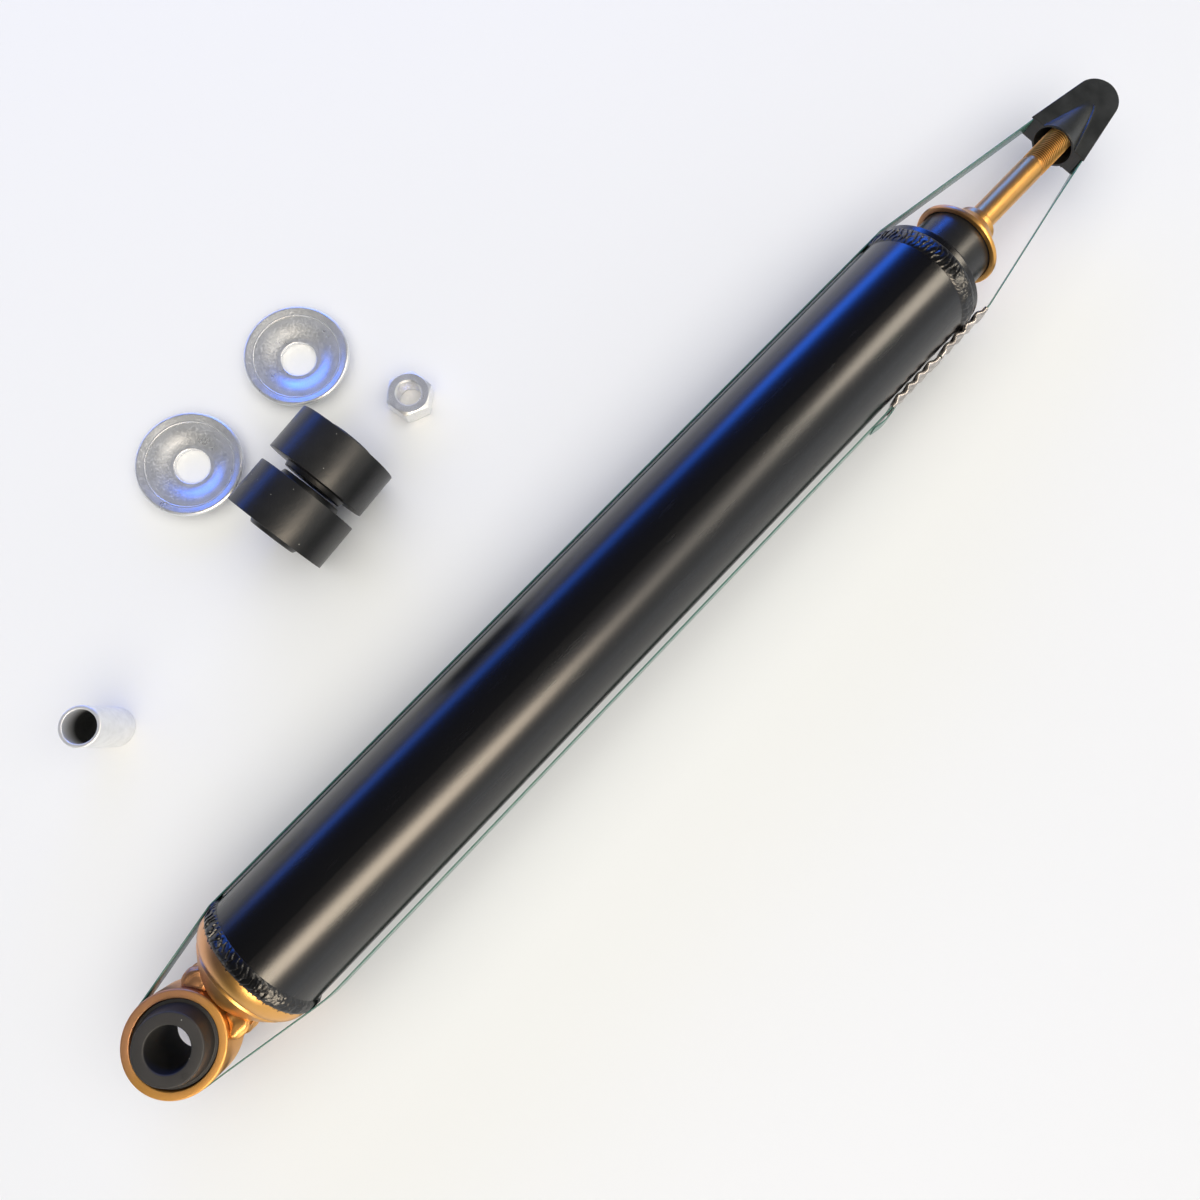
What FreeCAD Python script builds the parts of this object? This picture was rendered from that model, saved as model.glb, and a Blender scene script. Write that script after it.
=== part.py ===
import FreeCAD
import Part
import Sketcher
import math
import os

# A heavy-duty twin-tube shock absorber with a welded lower eye and an upper stem,
# held closed by a strap for delivery, with its mounting kit lying beside it.
# X runs along the damper from the eye to the stem, Z is up and is the eye's bore axis,
# and the origin is the centre of the lower eye. The damper lies on the floor.

TINY = 1e-6
SEALED_RUN = 2

SIZES = (
    # Reserve tube
    ("tube_od", 63.5, "outside diameter of the reserve tube"),
    ("tube_wall", 2.0, "wall of the reserve tube"),
    ("tube_length", 462.0, "length of the reserve tube"),
    ("weld_prep", 1.6, "chamfer of the tube ends and caps that the weld fills"),
    ("bead_width", 7.6, "width of the lower weld bead"),
    ("top_bead_width", 9.6, "width of the upper weld bead"),
    ("bead_crown", 0.8, "how far a weld bead stands above the tube"),
    ("seat_play", 0.05, "play of a piece that is seated inside another"),
    # Base cup
    ("cup_land", 1.0, "straight land of the base cup beside the weld"),
    ("cup_depth", 23.0, "reserve tube end to the base cup's bottom"),
    ("cup_bottom_radius", 13.0, "flat bottom of the base cup"),
    ("cup_step_inset", 7.5, "reserve tube's outside to the drawn step on the base cup"),
    ("cup_step_depth", 13.8, "reserve tube end to the drawn step"),
    ("cup_step", 0.8, "height of the drawn step"),
    ("cup_crown", 0.9, "bulge of the base cup above the step"),
    ("cup_lower_crown", 0.5, "bulge of the base cup below the step"),
    ("cup_wall", 3.2, "wall of the base cup"),
    ("cup_skirt", 9.0, "length of the base cup inside the reserve tube"),
    ("cup_skirt_wall", 2.4, "wall of the base cup's skirt"),
    # Lower eye
    ("eye_od", 46.6, "outside diameter of the eye ring"),
    ("eye_wall", 3.9, "wall of the eye ring"),
    ("eye_gap", 1.7, "gap between the eye ring and the base cup"),
    ("eye_width", 22.0, "width of the eye ring"),
    ("eye_chamfer", 0.7, "edge chamfer of the eye ring"),
    ("eye_weld_radius", 6.2, "radius of the weld beads beside the eye ring"),
    ("eye_weld_offset", 13.2, "axis of the damper to a weld bead's middle"),
    ("eye_weld_sink", 0.7, "eye ring's outside to the middle of its weld beads"),
    ("eye_weld_height", 17.0, "height of the weld beads beside the eye ring"),
    ("bush_width", 34.4, "width of the eye bush"),
    ("bush_bore", 20.0, "bore of the eye bush, which takes the sleeve"),
    ("bush_cone", 3.7, "width of the cone between the eye ring and the bush's flat face"),
    ("bush_groove", 0.9, "step from the eye ring's face to the bush's cone"),
    ("pip_radius", 1.3, "moulded pip on the eye bush"),
    ("pip_height", 0.5, "height of the moulded pip"),
    ("pip_shift", 0.35, "middle of the bush's flat face to the moulded pip"),
    ("pip_angle", -57.0, "direction of the moulded pip"),
    # Pressure tube
    ("bore", 35.0, "bore of the pressure tube"),
    ("bore_wall", 1.5, "wall of the pressure tube"),
    # Base valve
    ("foot_flange", 2.6, "flange of the base valve body"),
    ("foot_spigot", 8.0, "spigot of the base valve body"),
    ("foot_clear", 1.2, "radial room round the base valve's flange in the base cup"),
    ("foot_skirt", 3.4, "height of the base valve's feet"),
    ("foot_skirt_wall", 2.6, "wall of the base valve's feet"),
    ("foot_slot", 7.0, "width of the slots between the feet"),
    ("foot_slots", 4, "number of slots between the feet"),
    ("foot_port", 1.6, "radius of the base valve's ports"),
    ("foot_port_circle", 11.2, "circle of the base valve's ports"),
    ("foot_ports", 8, "number of the base valve's ports"),
    ("foot_pin_radius", 3.0, "radius of the base valve's pin"),
    ("foot_pin_head", 6.0, "radius of the pin's head"),
    ("foot_pin_head_height", 2.0, "height of the pin's head"),
    ("foot_disc_radius", 9.0, "radius of the base valve's discs"),
    ("foot_disc", 0.4, "thickness of one base valve disc"),
    ("foot_plate_radius", 14.6, "radius of the base check plate"),
    ("foot_plate", 0.8, "thickness of the base check plate"),
    ("foot_spring_height", 3.2, "height of the base check spring"),
    ("check_lift", 1.0, "lift of a check plate"),
    ("spring_play", 0.05, "play of a check spring and of a check plate"),
    # Rod and piston
    ("rod_od", 18.0, "diameter of the piston rod"),
    ("rod_play", 0.05, "radial play of the rod in its bush"),
    ("nut_clearance", 7.0, "base valve to the piston nut when closed"),
    ("tail_radius", 6.0, "radius of the rod's lower end, which carries the piston"),
    ("piston_width", 18.0, "width of the piston"),
    ("piston_play", 0.5, "radial play of the piston body in the bore"),
    ("band_width", 9.0, "width of the piston band"),
    ("band_depth", 1.6, "thickness of the piston band"),
    ("band_play", 0.04, "radial play of the piston band"),
    ("piston_port", 1.8, "radius of the piston's ports"),
    ("piston_port_circle", 11.6, "circle of the piston's ports"),
    ("piston_ports", 8, "number of the piston's ports"),
    ("piston_disc_radius", 14.2, "radius of the piston discs"),
    ("piston_disc", 0.4, "thickness of one piston disc"),
    ("disc_count", 3, "discs in each valve stack"),
    ("piston_nut_height", 8.0, "height of the piston nut"),
    ("piston_nut_flats", 19.0, "width across the piston nut's flats"),
    ("piston_plate_radius", 14.6, "radius of the piston check plate"),
    ("piston_plate", 0.8, "thickness of the piston check plate"),
    ("piston_spring_height", 3.2, "height of the piston check spring"),
    ("backing_height", 3.0, "height of the backing washer above the check spring"),
    ("backing_radius", 12.0, "radius of the backing washer"),
    ("stop_spacer", 44.1, "piston to the rebound stop ring, which sets the stroke"),
    ("stop_width", 9.0, "width of the rebound stop ring"),
    ("stop_radius", 14.0, "radius of the rebound stop ring"),
    ("stop_pad", 6.0, "height of the rebound pad"),
    ("stop_pad_radius", 15.5, "radius of the rebound pad"),
    # Rod guide, bush and seal
    ("guide_spigot", 8.0, "spigot of the rod guide in the pressure tube"),
    ("guide_flange", 15.0, "thick part of the rod guide"),
    ("guide_rise", 0.8, "rod guide's top above the reserve tube's end"),
    ("guide_vent", 1.5, "radius of the guide's oil returns"),
    ("guide_vents", 4, "number of oil returns"),
    ("guide_bush_wall", 1.5, "wall of the guide bush"),
    ("guide_bush_length", 14.0, "length of the guide bush"),
    ("seal_radius", 15.0, "outside radius of the rod seal"),
    ("seal_height", 8.5, "height of the rod seal"),
    ("lip_length", 3.0, "length of the rod seal's lip"),
    ("lip_wall", 1.4, "thickness of the rod seal's lip"),
    # Top cap
    ("top_rim", 7.0, "rim of the top cap above the tube"),
    ("top_face", 1.6, "height of the top cap's face above its rim"),
    ("top_round", 1.8, "rounding of the top cap's rim"),
    ("top_slope", 4.7, "width of the slope between the top cap's rim and its face"),
    ("top_skirt", 10.0, "length of the top cap inside the tube"),
    ("top_skirt_wall", 3.1, "wall of the top cap's skirt"),
    ("top_hole_play", 1.2, "play of the rod in the top cap's hole"),
    # Bump stop, cup and stem
    ("rest_gap", 0.3, "bump stop to the top cap when closed"),
    ("bump_radius", 20.8, "outside radius of the bump stop"),
    ("bump_height", 28.8, "height of the bump stop"),
    ("bump_waist", 1.6, "depth of the bump stop's waist"),
    ("bump_round", 1.6, "edge chamfer of the bump stop"),
    ("bump_play", 0.3, "radial play of the bump stop on the rod and in its cup"),
    ("bell_radius", 24.0, "outside radius of the upper cup"),
    ("bell_rim", 4.0, "height of the upper cup's rim"),
    ("bell_wall", 2.6, "wall of the upper cup"),
    ("bell_height", 12.5, "height of the upper cup"),
    ("bell_lap", 8.3, "how far the upper cup covers the bump stop"),
    ("bell_taper", 3.5, "straight inner wall of the upper cup, below its cone"),
    ("bell_roof_radius", 15.0, "flat roof inside the upper cup"),
    ("bell_hollow", 0.4, "hollow of the upper cup's cone"),
    ("collar_radius", 11.2, "radius of the stem's collar"),
    ("collar_height", 5.0, "height of the stem's collar above the upper cup"),
    ("collar_taper", 3.0, "length of the taper from the collar to the stem"),
    ("stem_od", 14.0, "diameter of the stem, M14 at its end"),
    ("plain_length", 43.0, "plain length of the stem"),
    ("stem_relief", 0.5, "depth of the relief before the thread"),
    ("relief_width", 2.0, "width of the relief before the thread"),
    ("thread_length", 42.0, "threaded length of the stem"),
    ("thread_chamfer", 1.5, "chamfer of the stem's end"),
    ("socket_depth", 12.0, "depth of the rod's spigot in the stem"),
    ("socket_radius", 6.0, "radius of the rod's spigot in the stem"),
    # End cap
    ("cap_cover", 24.9, "how much of the stem the end cap covers"),
    ("cap_length", 43.4, "length of the end cap's strap bed"),
    ("cap_front_width", 33.0, "width of the end cap's strap bed at its front"),
    ("cap_tip_radius", 10.8, "radius of the end cap's strap bed at its tip"),
    ("cap_channel", 10.8, "height of the strap channel"),
    ("cap_flange", 1.3, "thickness of the end cap's flanges"),
    ("cap_proud", 1.6, "how far the flanges stand out beside the strap"),
    ("cap_bulge_radius", 14.6, "radius of the end cap's bulge at its front"),
    ("cap_bulge_length", 30.0, "length of the end cap's bulge"),
    ("cap_bulge_rise", 2.4, "rounding of the end cap's bulge"),
    ("cap_mouth_radius", 13.0, "radius of the end cap's mouth"),
    ("cap_mouth_depth", 19.0, "depth of the end cap's tapered mouth"),
    ("cap_play", 0.08, "radial play of the stem in the end cap"),
    # Strap and its seals
    ("strap_width", 9.6, "width of the strap"),
    ("strap_thick", 0.7, "thickness of the strap"),
    ("strap_clear", 0.12, "play between the strap and what it lies on"),
    ("strap_corner", 2.0, "bend radius of the strap over an edge"),
    ("strap_bow", 60.0, "bend radius of the strap where it springs clear of the tube"),
    ("strap_stand_off", 2.1, "how far the strap stands off the weld beads on the seals' side"),
    ("clip_end", 5.0, "top cap's rim to the nearer strap seal, towards the stem"),
    ("clip_gap", 1.0, "gap between the two strap seals"),
    ("clip_lead", 2.5, "straight lead at each end of a strap seal"),
    ("clip_wall", 0.7, "wall of a strap seal"),
    ("crimp_pitch", 8.0, "pitch of the crimps"),
    ("crimp_depth", 1.6, "depth of the crimps"),
    ("crimp_count", 4, "crimps in one strap seal"),
    # Mounting kit
    ("washer_od", 56.7, "outside diameter of a cup washer"),
    ("washer_hole", 18.6, "hole of a cup washer"),
    ("washer_height", 7.5, "height of a cup washer"),
    ("washer_sheet", 2.4, "thickness of a cup washer"),
    ("washer_flat", 24.0, "flat middle of a cup washer, across"),
    ("washer_rim", 5.4, "width of a cup washer's rim"),
    ("washer_dish", 0.55, "rounding of a cup washer's dish"),
    ("washer_edge", 0.6, "edge chamfer of a cup washer"),
    ("washer_1_along", 27.9, "first stem bush to the first cup washer, along the damper"),
    ("washer_1_beside", 64.5, "first stem bush to the first cup washer, beside the damper"),
    ("washer_2_along", -51.9, "first stem bush to the second cup washer, along the damper"),
    ("washer_2_beside", 60.5, "first stem bush to the second cup washer, beside the damper"),
    ("bung_od", 54.4, "outside diameter of a stem bush"),
    ("bung_width", 25.4, "width of a stem bush between its faces"),
    ("bung_hole", 14.5, "hole of a stem bush"),
    ("bung_boss_od", 33.4, "locating boss of a stem bush"),
    ("bung_boss", 2.9, "height of the locating boss"),
    ("bung_dome_od", 26.0, "outer boss of a stem bush"),
    ("bung_dome", 2.3, "height of the outer boss"),
    ("bung_draft", 0.9, "draft of a stem bush's bosses"),
    ("bung_1_x", 230.9, "first stem bush along the damper"),
    ("bung_1_y", 148.7, "first stem bush beside the damper"),
    ("bung_gap", 2.0, "gap between the two stem bushes"),
    ("bung_shift", -1.1, "how far the second stem bush lies off the first one's axis"),
    ("bung_turn", 6.6, "direction of the stem bushes' axis"),
    ("nut_flats", 22.0, "width across the stem nut's flats"),
    ("nut_height", 12.0, "height of the stem nut"),
    ("nut_bore", 12.9, "bore of the stem nut, M14 fine thread"),
    ("nut_bevel", 1.6, "corner bevel of the stem nut"),
    ("nut_turn", 38.0, "direction of a stem nut corner"),
    ("nut_along", 54.3, "first stem bush to the stem nut, along the damper"),
    ("nut_beside", 5.2, "first stem bush to the stem nut, beside the damper"),
    ("sleeve_bore", 16.2, "bore of the eye sleeve, for an M16 bolt"),
    ("sleeve_length", 34.6, "length of the eye sleeve"),
    ("sleeve_chamfer", 0.6, "edge chamfer of the eye sleeve"),
    ("sleeve_x", 60.0, "eye sleeve along the damper"),
    ("sleeve_y", 136.5, "eye sleeve beside the damper"),
)


class Size:
    """A size, kept as a number and as the sheet expression that gives it."""

    def __init__(self, value, text):
        self.value = value
        self.text = text

    def __add__(self, other):
        other = as_size(other)
        return Size(self.value + other.value, f"({self.text} + {other.text})")

    def __sub__(self, other):
        other = as_size(other)
        return Size(self.value - other.value, f"({self.text} - {other.text})")

    def __mul__(self, other):
        other = as_size(other)
        return Size(self.value * other.value, f"({self.text} * {other.text})")

    def __truediv__(self, other):
        other = as_size(other)
        return Size(self.value / other.value, f"({self.text} / {other.text})")

    def __neg__(self):
        return Size(-self.value, f"(0 - {self.text})")


def as_size(number):
    return number if isinstance(number, Size) else Size(float(number), repr(number))


def hypotenuse(a, b):
    return Size(math.hypot(a.value, b.value), f"sqrt({a.text} ^ 2 + {b.text} ^ 2)")


def cosine(degrees):
    return Size(math.cos(math.radians(degrees.value)), f"cos({degrees.text})")


def sine(degrees):
    return Size(math.sin(math.radians(degrees.value)), f"sin({degrees.text})")


class Sheet:
    """The spreadsheet of driving sizes, read as attributes by their aliases."""

    def __init__(self, doc, rows):
        self.cells = doc.addObject("Spreadsheet::Sheet", "Sizes")
        for number, (alias, value, meaning) in enumerate(rows, start=1):
            self.cells.set(f"A{number}", meaning)
            self.cells.set(f"B{number}", str(value))
            self.cells.setAlias(f"B{number}", alias)
            setattr(self, alias, Size(float(value), f"Sizes.{alias}"))


doc = FreeCAD.newDocument("ShockAbsorber")
s = Sheet(doc, SIZES)
doc.recompute()
ZERO = as_size(0)
parts = []

# Places that several pieces share
tube_radius = s.tube_od / 2
tube_bore = tube_radius - s.tube_wall
eye_radius = s.eye_od / 2
eye_bore_radius = eye_radius - s.eye_wall
cup_bottom = eye_radius + s.eye_gap
tube_start = cup_bottom + s.cup_depth
tube_end = tube_start + s.tube_length
floor = -(tube_radius + s.bead_crown)
bore_radius = s.bore / 2
bore_outer = bore_radius + s.bore_wall
cup_weld_edge = tube_start - s.weld_prep - s.cup_land
cup_floor = cup_bottom + s.cup_wall
cup_floor_radius = s.cup_bottom_radius - s.cup_land
cup_skirt_radius = tube_bore - s.seat_play
cup_throat = tube_start - s.cup_land
cup_throat_radius = cup_skirt_radius - s.cup_skirt_wall
cup_slope = (cup_throat_radius - cup_floor_radius) / (cup_throat - cup_floor)
foot_seat = cup_floor + (bore_outer + s.foot_clear - cup_floor_radius) / cup_slope
foot_start = foot_seat - s.foot_skirt
foot_radius = cup_floor_radius + (foot_start - cup_floor) * cup_slope - s.seat_play * 2
bore_start = foot_seat + s.foot_flange
guide_end = tube_end + s.guide_rise
bore_end = guide_end - s.guide_flange
foot_top = bore_start + s.foot_spigot
foot_plate_seat = foot_top + s.spring_play
foot_spring_seat = foot_plate_seat + s.foot_plate + s.check_lift + s.spring_play
foot_pin_seat = foot_spring_seat + s.foot_spring_height + s.spring_play
foot_pin_top = foot_pin_seat + s.foot_pin_head_height
rod_radius = s.rod_od / 2
rod_tail = foot_pin_top + s.nut_clearance
piston_nut_top = rod_tail + s.piston_nut_height
piston_seat = piston_nut_top + s.piston_disc * s.disc_count
piston_top = piston_seat + s.piston_width
piston_plate_seat = piston_top + s.spring_play
piston_spring_seat = piston_plate_seat + s.piston_plate + s.check_lift + s.spring_play
backing_seat = piston_spring_seat + s.piston_spring_height + s.spring_play
rod_shoulder = backing_seat + s.backing_height
guide_seat = bore_end
guide_start = guide_seat - s.guide_spigot
guide_radius = tube_bore - s.top_skirt_wall - s.seat_play * 2
guide_bush_radius = rod_radius + s.rod_play + s.guide_bush_wall
seal_seat = guide_start + s.guide_bush_length + s.rest_gap
top_rim_end = tube_end + s.top_rim
top_face_end = top_rim_end + s.top_face
bump_start = top_face_end + s.rest_gap
bump_end = bump_start + s.bump_height
bell_roof = bump_end + s.rest_gap
bell_mouth = bump_end - s.bell_lap
collar_seat = bell_mouth + s.bell_height
collar_end = collar_seat + s.collar_height
stem_start = collar_end + s.collar_taper
stem_radius = s.stem_od / 2
relief_start = stem_start + s.plain_length
thread_start = relief_start + s.relief_width
stem_end = thread_start + s.thread_length
ring_seat = rod_shoulder + s.stop_spacer
pad_seat = ring_seat + s.stop_width
stop_top = pad_seat + s.stop_pad
cap_front = stem_end - s.cap_cover
cap_tip = cap_front + s.cap_length


def new_body(name):
    """A sub-part with its own label, which names its file."""
    body = doc.addObject("PartDesign::Body", name)
    body.Label = name
    parts.append(body)
    return body


def bind(target, prop, size):
    """Sets a property of an object and ties it to the sheet."""
    target.setExpression(prop, size.text)


def new_sketch(body, name, role, offset=None):
    """A sketch on one of the body's own origin planes, or at an offset from it."""
    sketch = body.newObject("Sketcher::SketchObject", name)
    plane = [item for item in body.Origin.OriginFeatures if item.Role == role][0]
    sketch.AttachmentSupport = [(plane, "")]
    sketch.MapMode = "FlatFace"
    if offset is not None:
        sketch.AttachmentOffset = FreeCAD.Placement(
            FreeCAD.Vector(0, 0, offset.value), FreeCAD.Rotation())
        bind(sketch, "AttachmentOffset.Base.z", offset)
    return sketch


def pin_point(edge, end, along, out):
    """The constraints that hold one point at its two sizes, with what each is bound to."""
    held = []
    for kind, size, axis in (("DistanceX", along, -2), ("DistanceY", out, -1)):
        if abs(size.value) < TINY:
            held.append((Sketcher.Constraint("PointOnObject", edge, end, axis), None))
        elif size.value > 0:
            held.append((Sketcher.Constraint(kind, -1, 1, edge, end, size.value), size))
        else:
            held.append((Sketcher.Constraint(kind, edge, end, -1, 1, -size.value), -size))
    return held


def arc_between(start, end, rise):
    """An arc from start to end that bulges to the left of the way by its rise."""
    middle = (start + end) * 0.5
    way = end - start
    way.normalize()
    left = FreeCAD.Vector(-way.y, way.x, 0)
    return Part.Arc(start, middle + left * rise, end)


def draw_outline(sketch, outline):
    """Draws a closed outline. A point is (along, out), or (along, out, rise) at an arc's end."""
    points = [FreeCAD.Vector(point[0].value, point[1].value, 0) for point in outline]
    edges = []
    held = []
    for i, point in enumerate(outline):
        start, end = points[i - 1], points[i]
        if len(point) == 3:
            shape = arc_between(start, end, point[2].value)
        else:
            shape = Part.LineSegment(start, end)
        edge = sketch.addGeometry(shape, False)
        first = 1 if sketch.getPoint(edge, 1).distanceToPoint(start) < 1e-4 else 2
        edges.append((edge, first, 3 - first))
    for i, point in enumerate(outline):
        edge, _, last = edges[i]
        following, first, _ = edges[(i + 1) % len(edges)]
        held.append((Sketcher.Constraint("Coincident", edge, last, following, first), None))
        held += pin_point(edge, last, point[0], point[1])
        if len(point) == 3:
            before = outline[i - 1]
            chord = hypotenuse(point[0] - before[0], point[1] - before[1])
            rise = point[2] if point[2].value > 0 else -point[2]
            radius = (chord * chord / 4 + rise * rise) / (rise * 2)
            held.append((Sketcher.Constraint("Radius", edge, radius.value), radius))
    numbers = sketch.addConstraint([constraint for constraint, _ in held])
    for number, (_, size) in zip(numbers, held):
        if size is not None:
            bind(sketch, f"Constraints[{number}]", size)


def draw_circle(sketch, along, out, radius):
    centre = FreeCAD.Vector(along.value, out.value, 0)
    edge = sketch.addGeometry(Part.Circle(centre, FreeCAD.Vector(0, 0, 1), radius.value), False)
    held = pin_point(edge, 3, along, out)
    held.append((Sketcher.Constraint("Radius", edge, radius.value), radius))
    numbers = sketch.addConstraint([constraint for constraint, _ in held])
    for number, (_, size) in zip(numbers, held):
        if size is not None:
            bind(sketch, f"Constraints[{number}]", size)


def turn(body, outline, axis="H_Axis", name="Turned", kind="Revolution"):
    """Turns an outline about the damper's axis, or about the eye's with V_Axis."""
    sketch = new_sketch(body, f"{body.Name}{name}Outline", "XZ_Plane")
    draw_outline(sketch, outline)
    feature = body.newObject(f"PartDesign::{kind}", f"{body.Name}{name}")
    feature.Profile = sketch
    feature.ReferenceAxis = (sketch, [axis])
    feature.Angle = 360
    return feature


def turned_piece(name, outline, axis="H_Axis"):
    body = new_body(name)
    turn(body, outline, axis)
    return body


def bore_ports(body, name, seat, circle, radius, count, depth):
    """Round ports along the damper, in a circle, cut from seat towards the stem."""
    sketch = new_sketch(body, f"{body.Name}{name}Circle", "YZ_Plane", seat)
    draw_circle(sketch, ZERO, circle, radius)
    port = body.newObject("PartDesign::Pocket", f"{body.Name}{name}")
    port.Profile = sketch
    port.Length = depth.value
    bind(port, "Length", depth)
    port.Reversed = True
    repeat_round(body, port, sketch, count, f"{name}Ring")


def repeat_round(body, feature, sketch, count, name):
    """Repeats a feature around its sketch's own normal through the origin."""
    ring = body.newObject("PartDesign::PolarPattern", f"{body.Name}{name}")
    ring.Originals = [feature]
    ring.Axis = (sketch, ["N_Axis"])
    ring.Angle = 360
    ring.Occurrences = int(count.value)
    bind(ring, "Occurrences", count)
    body.Tip = ring


def place(body, along, beside, height, turned=None):
    """Lays a piece at its place, turned about the vertical where that is given."""
    body.Placement.Base = FreeCAD.Vector(along.value, beside.value, height.value)
    bind(body, "Placement.Base.x", along)
    bind(body, "Placement.Base.y", beside)
    bind(body, "Placement.Base.z", height)
    if turned is not None:
        body.Placement.Rotation = FreeCAD.Rotation(FreeCAD.Vector(0, 0, 1), turned.value)
        bind(body, "Placement.Rotation.Angle", turned)


def new_feature(name, shape):
    """A sub-part whose shape is worked out with Part's own functions."""
    feature = doc.addObject("Part::Feature", name)
    feature.Label = name
    feature.Shape = shape
    parts.append(feature)
    return feature


# Reserve tube and its ends

def make_reserve_tube():
    prep = tube_radius - s.weld_prep
    turned_piece("reserve_tube", [
        (tube_start, tube_bore),
        (tube_end, tube_bore),
        (tube_end, prep),
        (tube_end - s.weld_prep, tube_radius),
        (tube_start + s.weld_prep, tube_radius),
        (tube_start, prep),
    ])


def make_base_cup():
    step = tube_start - s.cup_step_depth
    step_radius = tube_radius - s.cup_step_inset
    turned_piece("base_cup", [
        (cup_bottom, ZERO),
        (cup_bottom, s.cup_bottom_radius),
        (step - s.cup_step, step_radius - s.cup_step, s.cup_lower_crown),
        (step, step_radius),
        (cup_weld_edge, tube_radius, s.cup_crown),
        (tube_start - s.weld_prep, tube_radius),
        (tube_start, tube_radius - s.weld_prep),
        (tube_start, cup_skirt_radius),
        (tube_start + s.cup_skirt, cup_skirt_radius),
        (tube_start + s.cup_skirt, cup_throat_radius),
        (cup_throat, cup_throat_radius),
        (cup_floor, cup_floor_radius),
        (cup_floor, ZERO),
    ])


def make_bead(name, joint, low, high):
    """A weld bead in the groove at a joint, crowned above the tube, from low to high."""
    width = high - low
    turned_piece(name, [
        (low, tube_radius),
        (joint - s.weld_prep, tube_radius),
        (joint, tube_radius - s.weld_prep),
        (joint + s.weld_prep, tube_radius),
        (high, tube_radius),
        (high - width / 8, tube_radius + s.bead_crown / 2),
        (low + width / 8, tube_radius + s.bead_crown / 2, -s.bead_crown / 2),
    ])


def make_beads():
    make_bead("base_weld", tube_start, cup_weld_edge, cup_weld_edge + s.bead_width)
    end = tube_end + s.weld_prep + s.cup_land
    make_bead("top_weld", tube_end, end - s.top_bead_width, end)


# Lower eye

def make_eye_ring():
    half = s.eye_width / 2
    turned_piece("eye_ring", [
        (eye_bore_radius, -half),
        (eye_radius - s.eye_chamfer, -half),
        (eye_radius, -half + s.eye_chamfer),
        (eye_radius, half - s.eye_chamfer),
        (eye_radius - s.eye_chamfer, half),
        (eye_bore_radius, half),
    ], "V_Axis")


def make_eye_bush():
    half = s.bush_width / 2
    seat = s.eye_width / 2 + s.bush_groove
    outer = eye_bore_radius - s.seat_play
    inner = s.bush_bore / 2
    face = eye_bore_radius - s.bush_cone
    body = turned_piece("eye_bush", [
        (inner, -half),
        (face, -half),
        (outer, -seat),
        (outer, seat),
        (face, half),
        (inner, half),
    ], "V_Axis")
    sketch = new_sketch(body, "PipCircle", "XY_Plane", half)
    pip_circle = (inner + face) / 2 + s.pip_shift
    along = pip_circle * cosine(s.pip_angle)
    out = pip_circle * sine(s.pip_angle)
    draw_circle(sketch, along, out, s.pip_radius)
    pip = body.newObject("PartDesign::Pad", "Pip")
    pip.Profile = sketch
    pip.Length = s.pip_height.value
    bind(pip, "Length", s.pip_height)


def make_eye_weld():
    """Two upright beads between the eye ring and the base cup, with a gap between them."""
    cup = doc.getObject("base_cup").Shape
    ring = Part.makeCylinder(
        eye_radius.value, s.eye_width.value * 2, FreeCAD.Vector(0, 0, -s.eye_width.value))
    seat = eye_radius - s.eye_weld_sink
    beads = []
    for side in (1, -1):
        foot = FreeCAD.Vector(
            seat.value, side * s.eye_weld_offset.value, -s.eye_weld_height.value / 2)
        bead = Part.makeCylinder(s.eye_weld_radius.value, s.eye_weld_height.value, foot)
        rims = [edge for edge in bead.Edges if len(edge.Vertexes) == 1]
        bead = bead.makeFillet(s.eye_weld_radius.value / 3, rims)
        pieces = bead.cut(ring).cut(cup).Solids
        beads.append(max(pieces, key=lambda piece: piece.Volume))
    new_feature("eye_weld", Part.makeCompound(beads))


# Pressure tube and base valve

def make_pressure_tube():
    turned_piece("pressure_tube", [
        (bore_start, bore_radius),
        (bore_end, bore_radius),
        (bore_end, bore_outer),
        (bore_start, bore_outer),
    ])


def make_base_valve():
    body = turned_piece("base_valve_body", [
        (foot_seat, s.foot_pin_radius + s.seat_play),
        (foot_top, s.foot_pin_radius + s.seat_play),
        (foot_top, bore_radius - s.seat_play),
        (bore_start, bore_radius - s.seat_play),
        (bore_start, bore_outer),
        (foot_seat, bore_outer),
        (foot_start, foot_radius),
        (foot_start, foot_radius - s.foot_skirt_wall),
        (foot_seat, foot_radius - s.foot_skirt_wall),
    ])
    bore_ports(body, "Port", foot_seat, s.foot_port_circle, s.foot_port, s.foot_ports,
               s.foot_flange + s.foot_spigot)
    sketch = new_sketch(body, "FootSlotOutline", "YZ_Plane", foot_start)
    half = s.foot_slot / 2
    draw_outline(sketch, [
        (-half, s.foot_disc_radius),
        (half, s.foot_disc_radius),
        (half, bore_outer + s.foot_flange),
        (-half, bore_outer + s.foot_flange),
    ])
    slot = body.newObject("PartDesign::Pocket", "FootSlot")
    slot.Profile = sketch
    slot.Length = s.foot_skirt.value
    bind(slot, "Length", s.foot_skirt)
    slot.Reversed = True
    repeat_round(body, slot, sketch, s.foot_slots, "FootSlots")


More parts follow.
